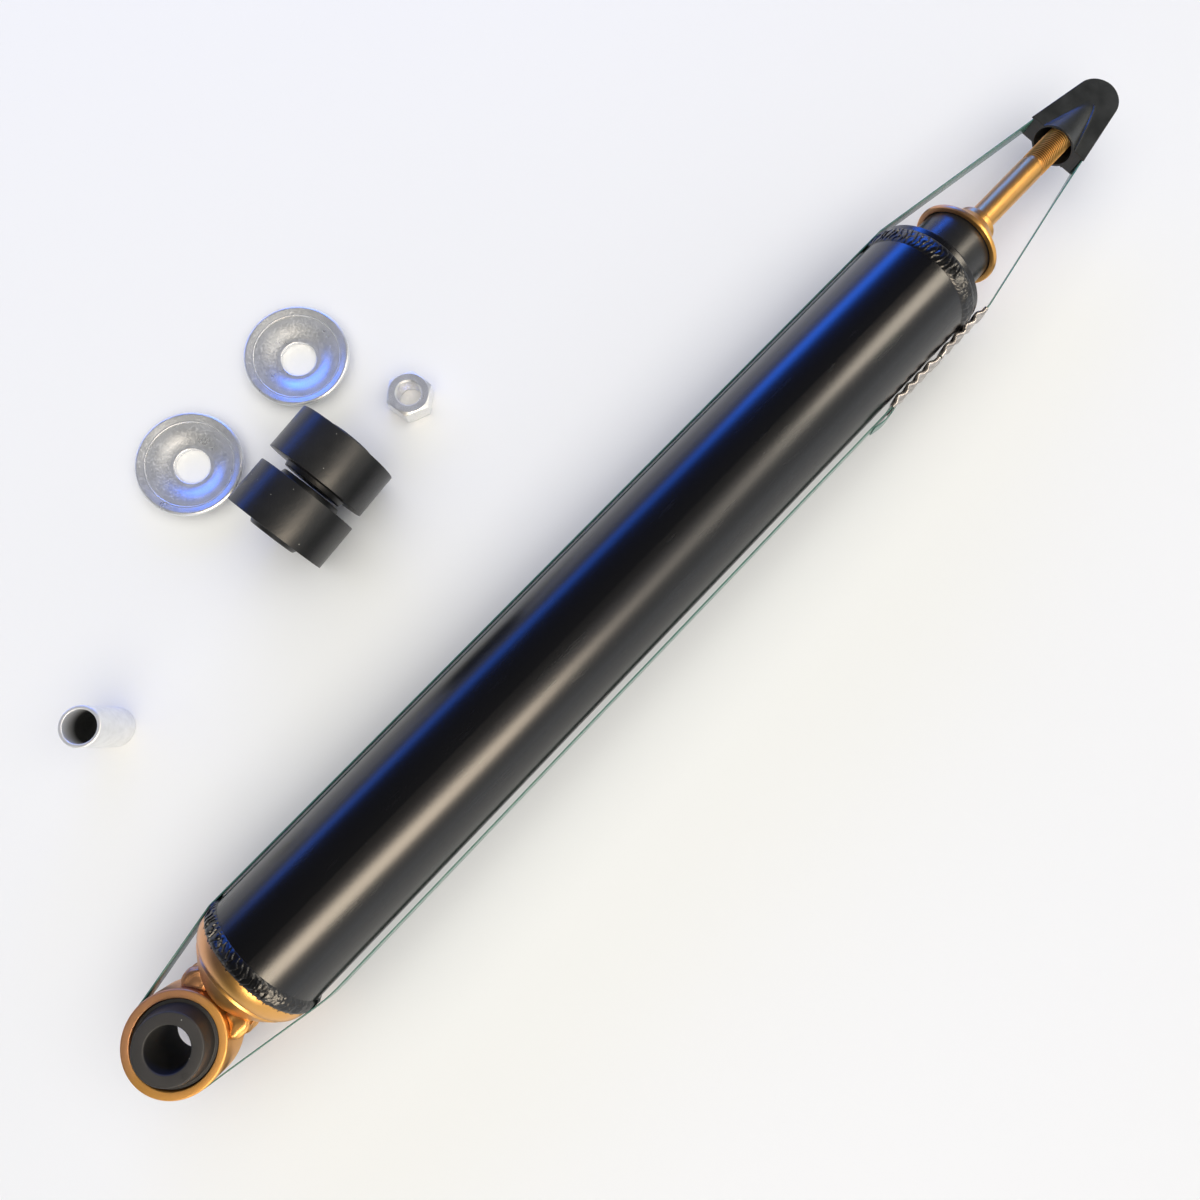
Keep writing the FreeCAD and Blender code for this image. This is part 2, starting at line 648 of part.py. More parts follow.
def make_base_valve_pieces():
    discs_seat = foot_seat - s.foot_disc * s.disc_count
    hole = s.foot_pin_radius + s.seat_play
    turned_piece("base_valve_discs", [
        (discs_seat, hole),
        (foot_seat, hole),
        (foot_seat, s.foot_disc_radius),
        (discs_seat, s.foot_disc_radius),
    ])
    head = s.foot_pin_head
    foot = discs_seat - s.foot_pin_head_height
    turned_piece("base_valve_pin", [
        (foot, ZERO),
        (foot, head),
        (discs_seat, head),
        (discs_seat, s.foot_pin_radius),
        (foot_pin_seat, s.foot_pin_radius),
        (foot_pin_seat, head),
        (foot_pin_top, head),
        (foot_pin_top, ZERO),
    ])
    turned_piece("base_check_plate", [
        (foot_plate_seat, hole),
        (foot_plate_seat + s.foot_plate, hole),
        (foot_plate_seat + s.foot_plate, s.foot_plate_radius),
        (foot_plate_seat, s.foot_plate_radius),
    ])
    make_check_spring("base_check_spring", foot_spring_seat, s.foot_spring_height, hole,
                      s.foot_plate_radius, s.foot_disc)


def make_check_spring(name, seat, height, inner, outer, sheet):
    """A conical spring washer: its wide edge bears on the check plate."""
    turned_piece(name, [
        (seat, outer - sheet),
        (seat, outer),
        (seat + height, inner + sheet * 2),
        (seat + height, inner),
    ])


# Rod, piston and rebound stop

def make_piston_rod():
    turned_piece("piston_rod", [
        (rod_tail, ZERO),
        (rod_tail, s.tail_radius - s.piston_disc),
        (rod_tail + s.piston_disc, s.tail_radius),
        (rod_shoulder, s.tail_radius),
        (rod_shoulder, rod_radius),
        (bell_roof, rod_radius),
        (bell_roof, s.socket_radius),
        (bell_roof + s.socket_depth, s.socket_radius),
        (bell_roof + s.socket_depth, ZERO),
    ])


def make_piston():
    hole = s.tail_radius + s.seat_play
    outer = bore_radius - s.piston_play
    groove = bore_radius - s.band_depth
    land = (s.piston_width - s.band_width) / 2
    body = turned_piece("piston", [
        (piston_seat, hole),
        (piston_top, hole),
        (piston_top, outer),
        (piston_top - land, outer),
        (piston_top - land, groove),
        (piston_seat + land, groove),
        (piston_seat + land, outer),
        (piston_seat, outer),
    ])
    bore_ports(body, "Port", piston_seat, s.piston_port_circle, s.piston_port, s.piston_ports,
               s.piston_width)
    band_end = piston_top - land - s.seat_play
    turned_piece("piston_band", [
        (piston_seat + land + s.seat_play, groove + s.seat_play),
        (band_end, groove + s.seat_play),
        (band_end, bore_radius - s.band_play),
        (piston_seat + land + s.seat_play, bore_radius - s.band_play),
    ])
    turned_piece("piston_discs", [
        (piston_nut_top, hole),
        (piston_seat, hole),
        (piston_seat, s.piston_disc_radius),
        (piston_nut_top, s.piston_disc_radius),
    ])


def make_piston_fittings():
    hole = s.tail_radius + s.seat_play
    turned_piece("piston_check_plate", [
        (piston_plate_seat, hole),
        (piston_plate_seat + s.piston_plate, hole),
        (piston_plate_seat + s.piston_plate, s.piston_plate_radius),
        (piston_plate_seat, s.piston_plate_radius),
    ])
    make_check_spring("piston_check_spring", piston_spring_seat, s.piston_spring_height, hole,
                      s.piston_plate_radius, s.piston_disc)
    turned_piece("backing_washer", [
        (backing_seat, hole),
        (rod_shoulder, hole),
        (rod_shoulder, s.backing_radius),
        (backing_seat, s.backing_radius),
    ])
    make_hex_nut("piston_nut", rod_tail, s.piston_nut_height, s.piston_nut_flats, hole)


def make_hex_nut(name, seat, height, flats, hole):
    """A hexagon nut along the damper, with its hole."""
    body = new_body(name)
    sketch = new_sketch(body, f"{name}Hexagon", "YZ_Plane", seat)
    draw_hexagon(sketch, flats)
    blank = body.newObject("PartDesign::Pad", f"{name}Blank")
    blank.Profile = sketch
    blank.Length = height.value
    bind(blank, "Length", height)
    sketch = new_sketch(body, f"{name}HoleCircle", "YZ_Plane", seat)
    draw_circle(sketch, ZERO, ZERO, hole)
    bored = body.newObject("PartDesign::Pocket", f"{name}Hole")
    bored.Profile = sketch
    bored.Length = height.value
    bind(bored, "Length", height)
    bored.Reversed = True


def draw_hexagon(sketch, flats):
    corner = flats / as_size(math.sqrt(3))
    half = corner / 2
    side = flats / 2
    draw_outline(sketch, [
        (corner, ZERO), (half, side), (-half, side),
        (-corner, ZERO), (-half, -side), (half, -side),
    ])


def make_rebound_stop():
    """A steel ring on the rod, with a rubber pad that meets the rod guide at full stretch."""
    hole = rod_radius + s.seat_play
    turned_piece("rebound_ring", [
        (ring_seat, hole),
        (pad_seat, hole),
        (pad_seat, s.stop_radius),
        (ring_seat, s.stop_radius),
    ])
    turned_piece("rebound_pad", [
        (pad_seat, hole),
        (stop_top, hole),
        (stop_top, s.stop_radius),
        (stop_top - s.stop_pad / 3, s.stop_pad_radius),
        (pad_seat, s.stop_pad_radius),
    ])


# Rod guide, its bush, the seal and the top cap

def make_rod_guide():
    hole = guide_bush_radius + s.seat_play
    pocket = s.seal_radius + s.seat_play
    body = turned_piece("rod_guide", [
        (guide_start, hole),
        (seal_seat, hole),
        (seal_seat, pocket),
        (guide_end, pocket),
        (guide_end, guide_radius),
        (guide_seat, guide_radius),
        (guide_seat, bore_radius - s.seat_play),
        (guide_start, bore_radius - s.seat_play),
    ])
    vent_circle = (pocket + guide_radius) / 2
    bore_ports(body, "Vent", guide_seat, vent_circle, s.guide_vent, s.guide_vents, s.guide_flange)
    turned_piece("guide_bush", [
        (guide_start, rod_radius + s.rod_play),
        (guide_start + s.guide_bush_length, rod_radius + s.rod_play),
        (guide_start + s.guide_bush_length, guide_bush_radius),
        (guide_start, guide_bush_radius),
    ])


def make_rod_seal():
    """The seal's body is bonded to a ring, and its lips run on the rod."""
    end = seal_seat + s.seal_height
    lip = rod_radius + s.rod_play
    web = rod_radius + s.lip_wall
    turned_piece("rod_seal", [
        (seal_seat, web + s.lip_wall),
        (seal_seat, s.seal_radius),
        (end, s.seal_radius),
        (end, lip),
        (end - s.lip_length, web),
        (seal_seat + s.lip_length, web),
        (seal_seat + s.lip_wall, lip),
        (seal_seat, lip),
        (seal_seat, web),
        (seal_seat + s.lip_length, web + s.lip_wall),
    ])


def make_top_cap():
    skirt = tube_bore - s.seat_play
    inside = guide_radius + s.seat_play
    hole = rod_radius + s.top_hole_play
    roof = guide_end + s.seat_play
    edge = s.top_round
    turned_piece("top_cap", [
        (tube_end - s.top_skirt, inside),
        (roof, inside),
        (roof, s.seal_radius + s.seat_play),
        (seal_seat + s.seal_height + s.seat_play, s.seal_radius + s.seat_play),
        (seal_seat + s.seal_height + s.seat_play, hole),
        (top_face_end, hole),
        (top_face_end, tube_radius - s.top_slope),
        (top_rim_end, tube_radius - edge),
        (top_rim_end - edge, tube_radius, s.top_round / 4),
        (tube_end + s.weld_prep, tube_radius),
        (tube_end, tube_radius - s.weld_prep),
        (tube_end, skirt),
        (tube_end - s.top_skirt, skirt),
    ])


# Bump stop, upper cup, stem and end cap

def make_bump_stop():
    hole = rod_radius + s.bump_play
    waist = bump_start + (s.bump_height - s.bell_lap) / 2
    turned_piece("bump_stop", [
        (bump_start, hole),
        (bump_end, hole),
        (bump_end, s.bell_roof_radius - s.bump_play),
        (bell_mouth + s.bell_taper - s.bump_play, s.bump_radius),
        (waist + s.bump_waist, s.bump_radius),
        (waist, s.bump_radius - s.bump_waist / 4),
        (waist - s.bump_waist, s.bump_radius),
        (bump_start + s.bump_round, s.bump_radius),
        (bump_start, s.bump_radius - s.bump_round),
    ])


def make_upper_cup():
    """A pressed bell that holds the bump stop, with a turned rim, welded to the collar."""
    inner = s.bump_radius + s.bump_play
    hole = s.collar_radius + s.seat_play
    turned_piece("upper_cup", [
        (bell_mouth, inner),
        (bell_mouth + s.bell_taper, inner),
        (bell_roof, s.bell_roof_radius),
        (bell_roof, hole),
        (collar_seat, hole),
        (collar_seat, s.collar_radius + s.bell_wall),
        (bell_mouth + s.bell_rim, s.bell_radius, s.bell_hollow),
        (bell_mouth, s.bell_radius),
    ])


def make_mount_stem():
    turned_piece("mount_stem", [
        (bell_roof, s.socket_radius + s.seat_play),
        (bell_roof + s.socket_depth + s.seat_play, s.socket_radius + s.seat_play),
        (bell_roof + s.socket_depth + s.seat_play, ZERO),
        (stem_end, ZERO),
        (stem_end, stem_radius - s.thread_chamfer),
        (stem_end - s.thread_chamfer, stem_radius),
        (thread_start, stem_radius),
        (thread_start - s.stem_relief, stem_radius - s.stem_relief),
        (relief_start + s.stem_relief, stem_radius - s.stem_relief),
        (relief_start, stem_radius),
        (stem_start, stem_radius),
        (collar_end, s.collar_radius, s.stem_relief),
        (bell_roof, s.collar_radius),
    ])


def draw_cap_outline(sketch, grow):
    """A tapered U: a straight front, two sides and a round tip that they run into."""
    corner = FreeCAD.Vector(cap_front.value, s.cap_front_width.value / 2 + grow.value, 0)
    radius = s.cap_tip_radius + grow
    middle = cap_tip - s.cap_tip_radius
    reach = middle.value - corner.x
    lean = math.atan2(corner.y, reach)
    spread = math.acos(radius.value / math.hypot(reach, corner.y))
    angle = math.pi - lean - spread
    touch = FreeCAD.Vector(
        middle.value + radius.value * math.cos(angle), radius.value * math.sin(angle), 0)
    mirror = FreeCAD.Vector(1, -1, 1)
    low_corner = FreeCAD.Vector(corner.x, corner.y * mirror.y, 0)
    low_touch = FreeCAD.Vector(touch.x, touch.y * mirror.y, 0)
    tip = FreeCAD.Vector(middle.value + radius.value, 0, 0)
    front = sketch.addGeometry(Part.LineSegment(corner, low_corner), False)
    low = sketch.addGeometry(Part.LineSegment(low_corner, low_touch), False)
    nose = sketch.addGeometry(Part.Arc(low_touch, tip, touch), False)
    high = sketch.addGeometry(Part.LineSegment(touch, corner), False)
    held = [
        (Sketcher.Constraint("Coincident", front, 2, low, 1), None),
        (Sketcher.Constraint("Tangent", low, 2, nose, 1), None),
        (Sketcher.Constraint("Tangent", nose, 2, high, 1), None),
        (Sketcher.Constraint("Coincident", high, 2, front, 1), None),
        (Sketcher.Constraint("Radius", nose, radius.value), radius),
    ]
    held += pin_point(nose, 3, middle, ZERO)
    held += pin_point(front, 1, cap_front, s.cap_front_width / 2 + grow)
    held += pin_point(front, 2, cap_front, -(s.cap_front_width / 2 + grow))
    numbers = sketch.addConstraint([constraint for constraint, _ in held])
    for number, (_, size) in zip(numbers, held):
        if size is not None:
            bind(sketch, f"Constraints[{number}]", size)


def make_end_cap():
    """A moulded strap guard: a channelled U that carries the strap, with a bulge for the stem."""
    body = new_body("end_cap")
    sketch = new_sketch(body, "StrapBedOutline", "XY_Plane")
    draw_cap_outline(sketch, ZERO)
    bed = body.newObject("PartDesign::Pad", "StrapBed")
    bed.Profile = sketch
    bed.Midplane = True
    bed.Length = s.cap_channel.value
    bind(bed, "Length", s.cap_channel)
    sketch = new_sketch(body, "FlangeOutline", "XY_Plane", s.cap_channel / 2)
    draw_cap_outline(sketch, s.cap_proud)
    flange = body.newObject("PartDesign::Pad", "Flange")
    flange.Profile = sketch
    flange.Length = s.cap_flange.value
    bind(flange, "Length", s.cap_flange)
    pair = body.newObject("PartDesign::Mirrored", "Flanges")
    pair.Originals = [flange]
    pair.MirrorPlane = ([item for item in body.Origin.OriginFeatures if item.Role == "XY_Plane"][0], [""])
    body.Tip = pair
    nose = cap_front + s.cap_bulge_length
    turn(body, [
        (cap_front, ZERO),
        (cap_front, s.cap_bulge_radius),
        (nose, s.cap_channel / 2, s.cap_bulge_rise),
        (nose, ZERO),
    ], name="Bulge")
    grip = stem_radius + s.cap_play
    mouth_end = cap_front + s.cap_mouth_depth
    turn(body, [
        (cap_front, ZERO),
        (cap_front, s.cap_mouth_radius),
        (mouth_end, grip),
        (stem_end + s.rest_gap, grip),
        (stem_end + s.rest_gap, ZERO),
    ], name="Mouth", kind="Groove")


# Strap and its seals

def clip_starts():
    """Where each strap seal begins along the damper, and how long one is."""
    length = s.crimp_pitch.value * s.crimp_count.value + s.clip_lead.value * 2
    last = top_rim_end.value + s.clip_end.value - length
    return [last - s.clip_gap.value - length, last], length


def strap_corners():
    """The round corners that the strap may run over, in order, and those it must reach."""
    corner = s.strap_corner.value
    bow = s.strap_bow.value
    clear = s.strap_clear.value
    side = tube_radius.value + s.bead_crown.value + clear
    far_side = side + s.strap_stand_off.value
    cap_side = s.cap_front_width.value / 2 + clear
    starts, length = clip_starts()
    return [
        (0.0, 0.0, eye_radius.value + clear, True),
        (tube_start.value + bow / 4, bow - far_side, bow, True),
        (starts[0] - s.clip_lead.value, corner - far_side, corner, True),
        (starts[1] + length + s.clip_lead.value, corner - far_side, corner, True),
        (cap_front.value, corner - cap_side, corner, False),
        (cap_tip.value - s.cap_tip_radius.value, 0.0, s.cap_tip_radius.value + clear, True),
        (cap_front.value, cap_side - corner, corner, False),
        (top_rim_end.value - s.top_round.value, side - corner, corner, True),
        (tube_start.value, side - corner, corner, True),
    ]


def way_between(first, second):
    """The direction that a strap faces on its way between two round corners."""
    x, y, radius = first[:3]
    x2, y2, radius2 = second[:3]
    gap = math.hypot(x2 - x, y2 - y)
    return math.atan2(y2 - y, x2 - x) - math.acos((radius - radius2) / gap)


def strap_discs():
    """The corners that the strap runs over. It passes clear of one that it needn't reach."""
    corners = strap_corners()
    kept = []
    for i, corner in enumerate(corners):
        before = corners[i - 1]
        after = corners[(i + 1) % len(corners)]
        turn_there = way_between(corner, after) - way_between(before, corner)
        if corner[3] or math.sin(turn_there) > TINY:
            kept.append(corner[:3])
    return kept


def crimp_arcs(left, level, grow):
    """One crimp as tangent arcs: out by its depth and back, for a line grown outwards."""
    pitch = s.crimp_pitch.value
    lean = 2 * math.atan(2 * s.crimp_depth.value / pitch)
    radius = pitch / 4 / math.sin(lean)
    crest = radius - grow

    def on_crest(middle, angle):
        return FreeCAD.Vector(
            middle + crest * math.sin(angle), level - radius + crest * math.cos(angle), 0)

    trough = FreeCAD.Vector(left + pitch / 2, level - s.crimp_depth.value - grow, 0)
    right = left + pitch
    return [
        Part.Arc(on_crest(left, 0), on_crest(left, lean / 2), on_crest(left, lean)).toShape(),
        Part.Arc(on_crest(left, lean), trough, on_crest(right, -lean)).toShape(),
        Part.Arc(on_crest(right, -lean), on_crest(right, -lean / 2), on_crest(right, 0)).toShape(),
    ]


def crimped_run(first, last, level, grow, starts):
    """A line from first to last along the damper, with crimps where each seal is."""
    edges = []
    reached = first
    for start in starts:
        left = start + s.clip_lead.value
        edges.append(straight(reached, left, level - grow))
        for i in range(int(s.crimp_count.value)):
            edges += crimp_arcs(left + i * s.crimp_pitch.value, level, grow)
        reached = left + s.crimp_count.value * s.crimp_pitch.value
    edges.append(straight(reached, last, level - grow))
    return edges


def straight(first, last, height):
    return Part.LineSegment(
        FreeCAD.Vector(first, height, 0), FreeCAD.Vector(last, height, 0)).toShape()


def strap_wire(grow):
    """The strap's closed loop of tangent lines and arcs, grown outwards from its inner face."""
    discs = strap_discs()
    starts, _ = clip_starts()
    count = len(discs)
    normals = [way_between(discs[i], discs[(i + 1) % count]) for i in range(count)]
    edges = []
    for i, disc in enumerate(discs):
        sweep = (normals[i] - normals[i - 1]) % (2 * math.pi)
        start = off_disc(disc, normals[i - 1], grow)
        end = off_disc(disc, normals[i], grow)
        if TINY < sweep < math.pi * 1.5:
            middle = off_disc(disc, normals[i - 1] + sweep / 2, grow)
            edges.append(Part.Arc(start, middle, end).toShape())
        following = off_disc(discs[(i + 1) % count], normals[i], grow)
        if i == SEALED_RUN:
            edges += crimped_run(end.x, following.x, end.y + grow, grow, starts)
        else:
            edges.append(Part.LineSegment(end, following).toShape())
    return Part.Wire(edges)


def off_disc(disc, angle, grow):
    """The point on a round corner that faces a direction, grown outwards."""
    reach = disc[2] + grow
    return FreeCAD.Vector(
        disc[0] + reach * math.cos(angle), disc[1] + reach * math.sin(angle), 0)


def upright(face, height):
    """A flat shape made as high as the strap or its seals, centred on the strap's plane."""
    face.translate(FreeCAD.Vector(0, 0, -height / 2))
    return face.extrude(FreeCAD.Vector(0, 0, height))


def make_strap():
    outer = Part.Face(strap_wire(s.strap_thick.value))
    inner = Part.Face(strap_wire(0.0))
    band = outer.cut(inner).Faces[0]
    new_feature("strap", upright(band, s.strap_width.value))


def make_strap_seals():
    """Two steel sleeves, crimped together with the strap that runs through them."""
    starts, length = clip_starts()
    level = strap_discs()[SEALED_RUN][1] - strap_discs()[SEALED_RUN][2]
    play = s.strap_clear.value
    wall = s.clip_wall.value
    for number, start in enumerate(starts, start=1):
        def sleeve(spare, past):
            near = crimped_run(start - past, start + length + past, level, -spare, [start])
            far = crimped_run(
                start - past, start + length + past, level, s.strap_thick.value + spare, [start])
            ends = [
                Part.LineSegment(
                    FreeCAD.Vector(x, level + spare, 0),
                    FreeCAD.Vector(x, level - s.strap_thick.value - spare, 0)).toShape()
                for x in (start - past, start + length + past)]
            wire = Part.Wire(Part.__sortEdges__(near + far + ends))
            return upright(Part.Face(wire), s.strap_width.value + 2 * spare)

        shell = sleeve(play + wall, 0.0).cut(sleeve(play, wall))
        new_feature(f"strap_seal_{number}", shell.Solids[0])


# Mounting kit

def make_cup_washer(name, along, beside):
    rim = s.washer_od / 2
    flat = s.washer_flat / 2
    lip = rim - s.washer_rim
    top = s.washer_height
    low = top - s.washer_sheet
    body = turned_piece(name, [
        (s.washer_hole / 2, ZERO),
        (flat, ZERO),
        (lip, low / 2, -s.washer_dish),
        (rim - s.washer_edge, low),
        (rim, low + s.washer_edge),
        (rim, top - s.washer_edge),
        (rim - s.washer_edge, top),
        (rim - s.washer_rim / 2, top),
        (lip - s.washer_edge, low / 2 + s.washer_sheet),
        (flat, s.washer_sheet, s.washer_dish),
        (s.washer_hole / 2, s.washer_sheet),
    ], "V_Axis")
    place(body, s.bung_1_x + along, s.bung_1_y + beside, floor)


def make_stem_bush(name, along, beside, facing):
    """A stepped rubber bush on its side. Its locating boss points the way that facing gives."""
    half = s.bung_width / 2
    boss = s.bung_boss_od / 2
    dome = s.bung_dome_od / 2
    outline = [
        (-half - s.bung_boss, s.bung_hole / 2),
        (half + s.bung_dome, s.bung_hole / 2),
        (half + s.bung_dome, dome - s.bung_draft),
        (half, dome),
        (half, s.bung_od / 2),
        (-half, s.bung_od / 2),
        (-half, boss),
        (-half - s.bung_boss, boss - s.bung_draft),
    ]
    if facing > 0:
        outline = [(-along_, out_) for along_, out_ in reversed(outline)]
    body = turned_piece(name, outline)
    place(body, along, beside, floor + s.bung_od / 2, s.bung_turn)


def make_stem_nut():
    body = new_body("stem_nut")
    sketch = new_sketch(body, "StemNutHexagon", "XY_Plane")
    draw_hexagon(sketch, s.nut_flats)
    blank = body.newObject("PartDesign::Pad", "StemNutBlank")
    blank.Profile = sketch
    blank.Length = s.nut_height.value
    bind(blank, "Length", s.nut_height)
    corner = s.nut_flats / as_size(math.sqrt(3))
    inner = s.nut_flats / 2 - s.nut_bevel / 4
    for name, face, way in (("Top", s.nut_height, -1), ("Bottom", ZERO, 1)):
        depth = face + s.nut_bevel * way
        turn(body, [
            (inner, face),
            (corner + s.nut_bevel, face),
            (corner + s.nut_bevel, depth),
            (corner, depth),
        ], "V_Axis", f"Bevel{name}", "Groove")
    turn(body, [
        (ZERO, ZERO),
        (s.nut_bore / 2 + s.nut_bevel / 2, ZERO),
        (s.nut_bore / 2, s.nut_bevel / 2),
        (s.nut_bore / 2, s.nut_height - s.nut_bevel / 2),
        (s.nut_bore / 2 + s.nut_bevel / 2, s.nut_height),
        (ZERO, s.nut_height),
    ], "V_Axis", "Bore", "Groove")
    place(body, s.bung_1_x + s.nut_along, s.bung_1_y + s.nut_beside, floor, s.nut_turn)


def make_eye_sleeve():
    outer = s.bush_bore / 2
    inner = s.sleeve_bore / 2
    edge = s.sleeve_chamfer
    body = turned_piece("eye_sleeve", [
        (inner, ZERO),
        (outer - edge, ZERO),
        (outer, edge),
        (outer, s.sleeve_length - edge),
        (outer - edge, s.sleeve_length),
        (inner, s.sleeve_length),
    ], "V_Axis")
    place(body, s.sleeve_x, s.sleeve_y, floor)


make_reserve_tube()
make_base_cup()
make_beads()
make_eye_ring()
make_eye_bush()
doc.recompute()
make_eye_weld()
make_pressure_tube()
make_base_valve()
make_base_valve_pieces()
make_piston_rod()
make_piston()
make_piston_fittings()
make_rebound_stop()
make_rod_guide()
make_rod_seal()
make_top_cap()
make_bump_stop()
make_upper_cup()
make_mount_stem()
make_end_cap()
make_strap()
make_strap_seals()
make_cup_washer("cup_washer_1", s.washer_1_along, s.washer_1_beside)
make_cup_washer("cup_washer_2", s.washer_2_along, s.washer_2_beside)
bung_step = s.bung_width + s.bung_boss * 2 + s.bung_gap
make_stem_bush("stem_bush_1", s.bung_1_x, s.bung_1_y, -1)
make_stem_bush(
    "stem_bush_2",
    s.bung_1_x - bung_step * cosine(s.bung_turn) - s.bung_shift * sine(s.bung_turn),
    s.bung_1_y - bung_step * sine(s.bung_turn) + s.bung_shift * cosine(s.bung_turn),
    1)
make_stem_nut()
make_eye_sleeve()
doc.recompute()

for item in doc.Objects:
    if "Invalid" in item.State or "Error" in item.State:
        raise RuntimeError(f"{item.Label} failed: {item.State}")
for piece in parts:
    if piece.Shape.isNull() or not piece.Shape.isValid() or not piece.Shape.Solids:
        raise RuntimeError(f"{piece.Label} has no valid solid")

os.makedirs("parts", exist_ok=True)
for piece in parts:
    piece.Shape.exportStep(f"parts/{piece.Label}.step")
    box = piece.Shape.optimalBoundingBox()
    print(f"{piece.Label}: {len(piece.Shape.Solids)} solid, x {box.XMin:.1f} to {box.XMax:.1f}, "
          f"y {box.YMin:.1f} to {box.YMax:.1f}, z {box.ZMin:.1f} to {box.ZMax:.1f}, "
          f"volume {piece.Shape.Volume / 1000:.2f} cm3")
print(f"stroke {guide_start.value - stop_top.value:.2f}")
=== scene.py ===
import math

import bmesh
import bpy
from bpy.props import FloatProperty, FloatVectorProperty, IntProperty, PointerProperty
from mathutils import Matrix, Vector, noise


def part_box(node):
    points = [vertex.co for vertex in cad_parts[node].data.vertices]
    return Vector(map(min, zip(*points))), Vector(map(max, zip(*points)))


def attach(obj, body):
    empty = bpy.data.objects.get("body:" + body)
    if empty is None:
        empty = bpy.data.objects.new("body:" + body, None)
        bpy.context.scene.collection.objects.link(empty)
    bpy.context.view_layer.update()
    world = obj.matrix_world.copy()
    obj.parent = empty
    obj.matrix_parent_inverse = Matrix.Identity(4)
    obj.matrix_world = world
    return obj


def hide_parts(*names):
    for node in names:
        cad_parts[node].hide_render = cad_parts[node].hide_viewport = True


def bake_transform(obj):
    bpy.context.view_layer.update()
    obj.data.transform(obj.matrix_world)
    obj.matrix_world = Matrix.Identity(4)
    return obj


bl_info = {
    "name": "Strapped Shock Absorber",
    "version": (1, 0, 0),
    "blender": (4, 5, 0),
    "location": "View3D > Sidebar > Damper",
    "description": "Dresses a strapped shock absorber and its mounting kit",
    "category": "Object",
}

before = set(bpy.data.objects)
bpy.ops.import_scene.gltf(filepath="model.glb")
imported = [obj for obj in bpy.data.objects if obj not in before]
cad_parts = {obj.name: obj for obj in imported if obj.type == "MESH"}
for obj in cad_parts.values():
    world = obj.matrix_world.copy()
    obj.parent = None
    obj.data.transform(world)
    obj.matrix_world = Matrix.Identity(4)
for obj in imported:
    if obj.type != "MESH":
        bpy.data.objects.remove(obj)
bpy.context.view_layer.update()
BOXES = {name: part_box(name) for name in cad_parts}

FINE = 192
CORNER_STEPS = 6
ALONG = "X"
UPRIGHT = "Z"


def low(node, axis=0):
    return BOXES[node][0][axis]


def high(node, axis=0):
    return BOXES[node][1][axis]


def middle(node, axis):
    return (low(node, axis) + high(node, axis)) / 2


def radius_of(node, axis=1):
    """Half of a round node's width across."""
    return (high(node, axis) - low(node, axis)) / 2


FLOOR = low("stem_nut", 2)
TUBE_RADIUS = radius_of("reserve_tube")
ROD_RADIUS = radius_of("piston_rod")


# Settings

def length_setting(label, meaning, metres):
    """A length that can be set in the panel."""
    return FloatProperty(name=label, description=meaning, unit="LENGTH", default=metres)


def colour_setting(label, meaning, colour):
    """A colour that can be set in the panel."""
    return FloatVectorProperty(name=label, description=meaning, subtype="COLOR", default=colour)


class PaintSettings(bpy.types.PropertyGroup):
    black: colour_setting(
        "Black paint", "Gloss paint of the tube, its ends and its welds", (0.0024, 0.0024, 0.0028))
    gold: colour_setting("Gold", "Yellow zinc plating", (0.76, 0.41, 0.11))
    # This pink serves both random clouds of tint and a painted reflection on the +Y side
    gold_pink_and_painted_reflection: colour_setting("Gold blush", "Pink tint in the yellow plating", (0.70, 0.36, 0.24))
    zinc: colour_setting("Zinc", "Bright zinc plating of the kit", (0.88, 0.89, 0.90))
    rubber: colour_setting("Rubber", "Rubber of the bushes", (0.020, 0.019, 0.018))
    bump_rubber: colour_setting(
        "Bump rubber", "Smoother rubber of the bump stop", (0.012, 0.012, 0.012))
    plastic: colour_setting("Cap plastic", "Moulded plastic of the end cap", (0.017, 0.018, 0.017))
    strap: colour_setting("Strap", "Green polyester of the strap", (0.060, 0.155, 0.125))
    seal: colour_setting("Seal", "Steel of the strap seals", (0.34, 0.32, 0.31))


class TubeSettings(bpy.types.PropertyGroup):
    edge: length_setting("Edge", "Rounding of turned edges", 0.0004)
    cup_step: length_setting("Cup step", "Base cup's bottom to its drawn step", 0.0125)
    cup_step_radius: length_setting("Cup step radius", "Radius of the drawn step", 0.0272)
    cup_ledge: length_setting("Cup ledge", "Width of the ledge at the drawn step", 0.0017)
    cup_lip: length_setting("Cup lip", "Rise of the lip behind the drawn step", 0.0011)
    cup_lap: length_setting("Cup lap", "Length of the base cup under the weld bead", 0.001)
    cup_wall: length_setting("Cup wall", "Wall of the base cup inside the tube", 0.0022)
    cup_bottom: length_setting("Cup bottom", "Radius of the base cup's flat bottom", 0.013)
    top_round: length_setting("Top round", "Rounding of the top cap's rim", 0.0018)


class WeldSettings(bpy.types.PropertyGroup):
    pitch: length_setting("Ripple pitch", "Distance between the ripples of a weld bead", 0.0030)
    depth: length_setting("Ripple depth", "Height of a ripple's edge", 0.0008)
    bow: FloatProperty(
        name="Ripple bow", description="How far a ripple bows back at the bead's edges, in ripples",
        default=0.6)
    uneven: length_setting("Unevenness", "Slow rise and fall of the bead", 0.0012)
    seed: FloatProperty(
        name="Seed", description="Seed of the beads' unevenness", default=7.0)
    eye_swell: length_setting("Eye weld swell", "Unevenness of the beads beside the eye", 0.0009)
    eye_grain: length_setting("Eye weld grain", "Mesh size of the beads beside the eye", 0.00042)


